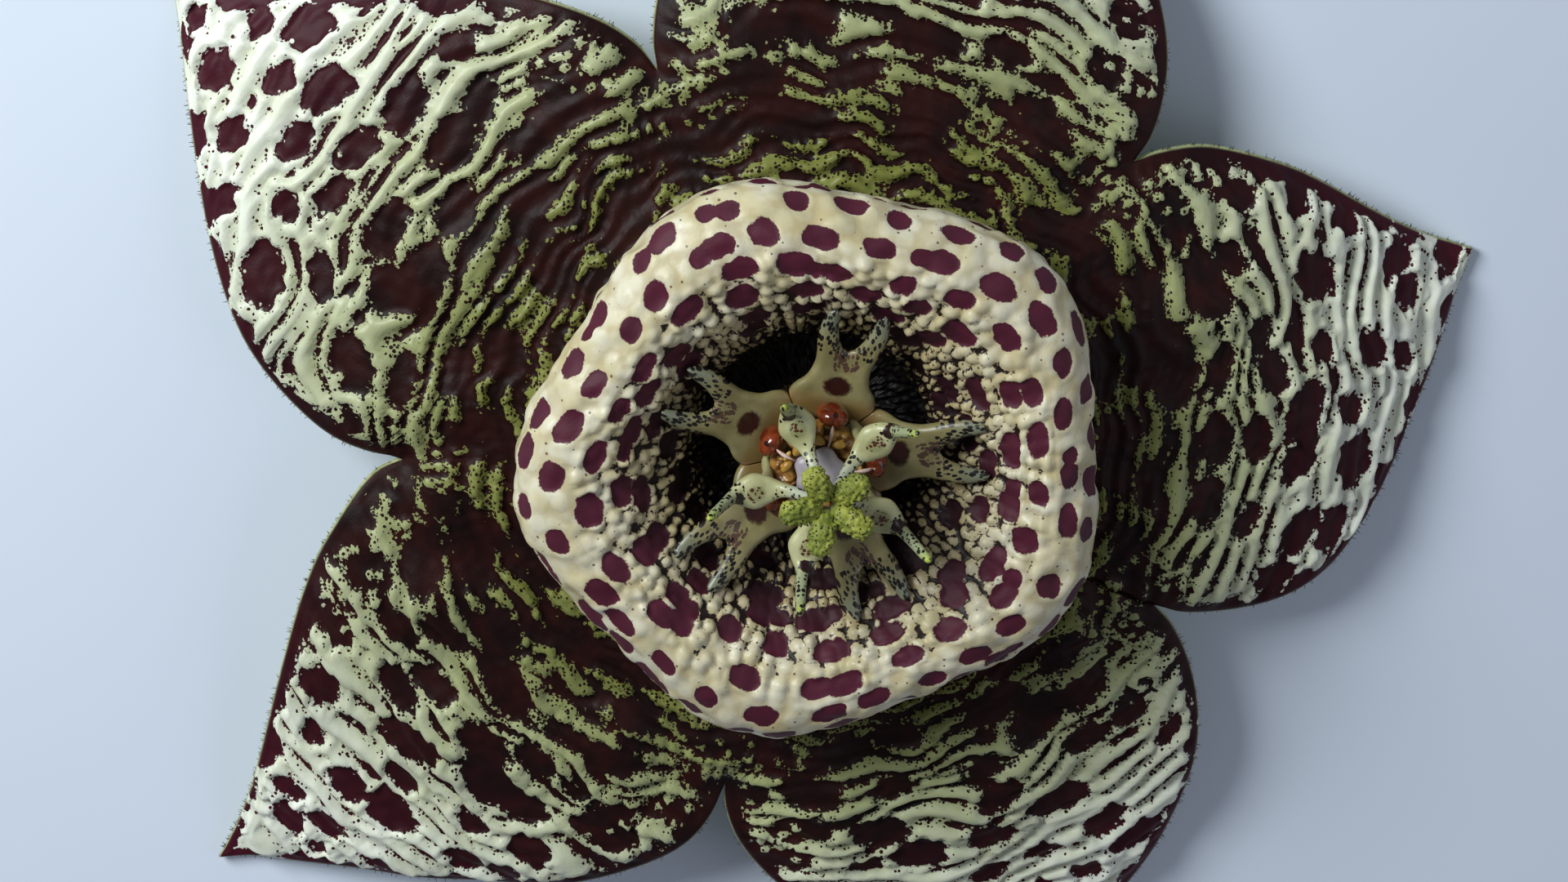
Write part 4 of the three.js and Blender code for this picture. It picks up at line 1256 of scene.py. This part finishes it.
def flower_stalk(bm):
    """The receptacle and stalk: down from the calyx, round a bend and flat along the surface."""
    path = [(0.0, 0.0, RECEPTACLE_TOP, 0.02), (0.0, 0.0, RECEPTACLE_TOP - 0.02, RECEPTACLE_RADIUS - 0.2),
            (0.0, 0.0, RECEPTACLE_TOP - 0.2, RECEPTACLE_RADIUS)]
    for turn in (10, 25, 40, 55, 70, 85):
        radius = NECK_RADIUS + (STALK_RADIUS - NECK_RADIUS) * turn / 85
        bend = math.radians(turn)
        path.append((STALK_BEND * (1 - math.cos(bend)), 0.0,
                     STALK_BEND * (1 - math.sin(bend)) + radius, radius))
    for share in np.linspace(0, 1, 10)[1:]:
        swing = STALK_SWING * math.sin(math.pi * share) * share
        path.append((STALK_BEND + STALK_LENGTH * share, swing, STALK_RADIUS, STALK_RADIUS * 0.99))
    end = path[-1]
    path.append((end[0], end[1], end[2], 0.02))
    line = flowing(path, 500)
    line[:, 3] = np.clip(line[:, 3], 0.0, RECEPTACLE_RADIUS)
    forward = np.gradient(line[:, :3], axis=0)
    forward[:12] = (0, 0, -1)
    forward[-12:] = (1, 0, 0)
    forward /= np.linalg.norm(forward, axis=1, keepdims=True)
    sideways = np.tile((0.0, 1.0, 0.0), (len(line), 1))
    sideways -= forward * (sideways * forward).sum(1, keepdims=True)
    sideways /= np.linalg.norm(sideways, axis=1, keepdims=True)
    table = np.column_stack([line, sideways, np.cross(forward, sideways)])

    def around(u, v):
        at = along(table, v)
        turn = u * 2 * math.pi
        ribs = 1 - 0.03 * (0.5 + 0.5 * np.cos(5 * turn + v * 3))
        side = (at[:, 3] * np.cos(turn) * ribs)[:, None] * at[:, 4:7]
        up = (at[:, 3] * np.sin(turn) * ribs)[:, None] * at[:, 7:10]
        points = at[:, :3] + side + up
        points[:, 2] = np.clip(points[:, 2], 0.01, RECEPTACLE_TOP)
        return points, [v]
    mapped_grid(bm, 48, 160, around, float_layers(bm, "share"))


def make_gynostegium():
    forked = skin_material("forked_lobe_skin", fill_forked, Coat_Weight=0.2, Coat_Roughness=0.25)
    horned = skin_material("horned_lobe_skin", fill_horned, Coat_Roughness=0.25)
    round_the_axis("forked_lobe", "outer_corona_lobe", OUTER_ANGLE, forked, forked_lobe)
    round_the_axis("horned_lobe", "inner_corona_lobe", INNER_ANGLE, horned, horned_lobe)
    nectar = skin_material("nectar_skin", fill_nectar, Roughness=0.16, Coat_Weight=0.6, Coat_Roughness=0.08)
    round_the_axis("nectar_cushion", "nectar_pad", OUTER_ANGLE, nectar, nectar_cushion)
    amber = skin_material("anther_skin", fill_anther, Roughness=0.3, Coat_Weight=0.4, Coat_Roughness=0.15)
    round_the_axis("anther_pad", "anther", INNER_ANGLE, amber, anther_pad)
    rail = skin_material("guide_rail_skin", fill_rail, Roughness=0.25)
    round_the_axis("guide_rail", None, OUTER_ANGLE, rail, guide_rail)
    pollen = skin_material("pollen_wax", fill_pollen, Roughness=0.3)
    round_the_axis("pollen_masses", "pollinarium", OUTER_ANGLE, pollen, pollen_masses)
    bm = bmesh.new()
    style_cap(bm)
    style = skin_material("style_skin", fill_style, Roughness=0.4)
    cap = finished(bm, "style_cap", ["style_head"], style)
    settle(cap, corners(cap))
    column = bpy.data.objects["staminal_column"]
    column.data.materials.clear()
    column.data.materials.append(skin_material("column_skin", fill_column, Roughness=0.45))


def make_calyx():
    green = skin_material("calyx_skin", fill_green)
    round_the_axis("sepal_blade", "sepal", INNER_ANGLE, green, sepal_blade)
    bm = bmesh.new()
    flower_stalk(bm)
    stalk = finished(bm, "flower_stalk", ["pedicel"], green)
    settle(stalk, turned(corners(stalk), STALK_ANGLE))


make_lobes()
make_annulus()
make_hairs()
make_gynostegium()
make_calyx()

# ---- Stage ---------------------------------------------------------------------------------------------

# Metres, watts and linear colours from here on.
FLOOR_SIZE = 3.0
WINDOW = {"place": (-0.155, 0.135, 0.15), "size": 0.12, "watts": 0.62, "tint": (0.94, 1.0, 0.99)}
FILL = {"place": (0.44, -0.04, 0.38), "size": 0.5, "watts": 0.42, "tint": (0.86, 0.92, 1.0)}
ROOM_COLOUR, ROOM_STRENGTH = (0.80, 0.86, 1.0, 1.0), 0.16
CAMERA_TILT, CAMERA_SWING, CAMERA_DISTANCE = math.radians(23), math.radians(-12), 0.190
CAMERA_LENS, CAMERA_SHIFT = 89.06, (-0.0198, 0.0052)


def fill_floor(recipe, vector):
    cloud = recipe.noise(vector, 14, 3.0)
    return {"Base Color": recipe.blend(cloud, colour("dde8fc"), colour("eaf1fe")),
            "Roughness": recipe.step(cloud, 0.3, 0.7, 0.5, 0.6)}


def make_floor():
    bm = bmesh.new()
    bmesh.ops.create_grid(bm, x_segments=2, y_segments=2, size=FLOOR_SIZE / 2)
    mesh = bpy.data.meshes.new("floor")
    bm.to_mesh(mesh)
    bm.free()
    floor = bpy.data.objects.new("floor", mesh)
    bpy.context.scene.collection.objects.link(floor)
    floor.data.materials.append(skin_material("floor_paint", fill_floor))


def soft_light(name, aim, place, size, watts, tint):
    data = bpy.data.lights.new(name, "AREA")
    data.shape, data.size, data.energy, data.color = "DISK", size, watts, tint
    light = bpy.data.objects.new(name, data)
    light.location = place
    light.rotation_euler = (Vector(aim) - Vector(place)).to_track_quat("-Z", "Y").to_euler()
    bpy.context.scene.collection.objects.link(light)


def make_camera():
    sideways = Vector((math.sin(CAMERA_SWING), math.cos(CAMERA_SWING), 0))
    back = sideways * math.sin(CAMERA_TILT) + Vector((0, 0, math.cos(CAMERA_TILT)))
    right = Vector((0, 1, 0)).cross(back).normalized()
    up = back.cross(right)
    target = Vector(placed((0.0, 0.0, 9.5)))
    data = bpy.data.cameras.new("camera")
    data.sensor_width, data.lens = 36.0, CAMERA_LENS
    data.shift_x, data.shift_y = CAMERA_SHIFT
    data.clip_start, data.clip_end = 0.01, 10.0
    camera = bpy.data.objects.new("camera", data)
    turn = Matrix((right, up, back)).transposed().to_4x4()
    camera.matrix_world = Matrix.Translation(target + back * CAMERA_DISTANCE) @ turn
    bpy.context.scene.collection.objects.link(camera)
    bpy.context.scene.camera = camera


make_floor()
make_camera()
middle = tuple(placed((0.0, 0.0, 8.0)))
soft_light("window", middle, **WINDOW)
soft_light("fill", middle, **FILL)
world = bpy.data.worlds.new("room")
world.use_nodes = True
world.node_tree.nodes["Background"].inputs[0].default_value = ROOM_COLOUR
world.node_tree.nodes["Background"].inputs[1].default_value = ROOM_STRENGTH
bpy.context.scene.world = world
bpy.context.scene.view_settings.view_transform = "Standard"
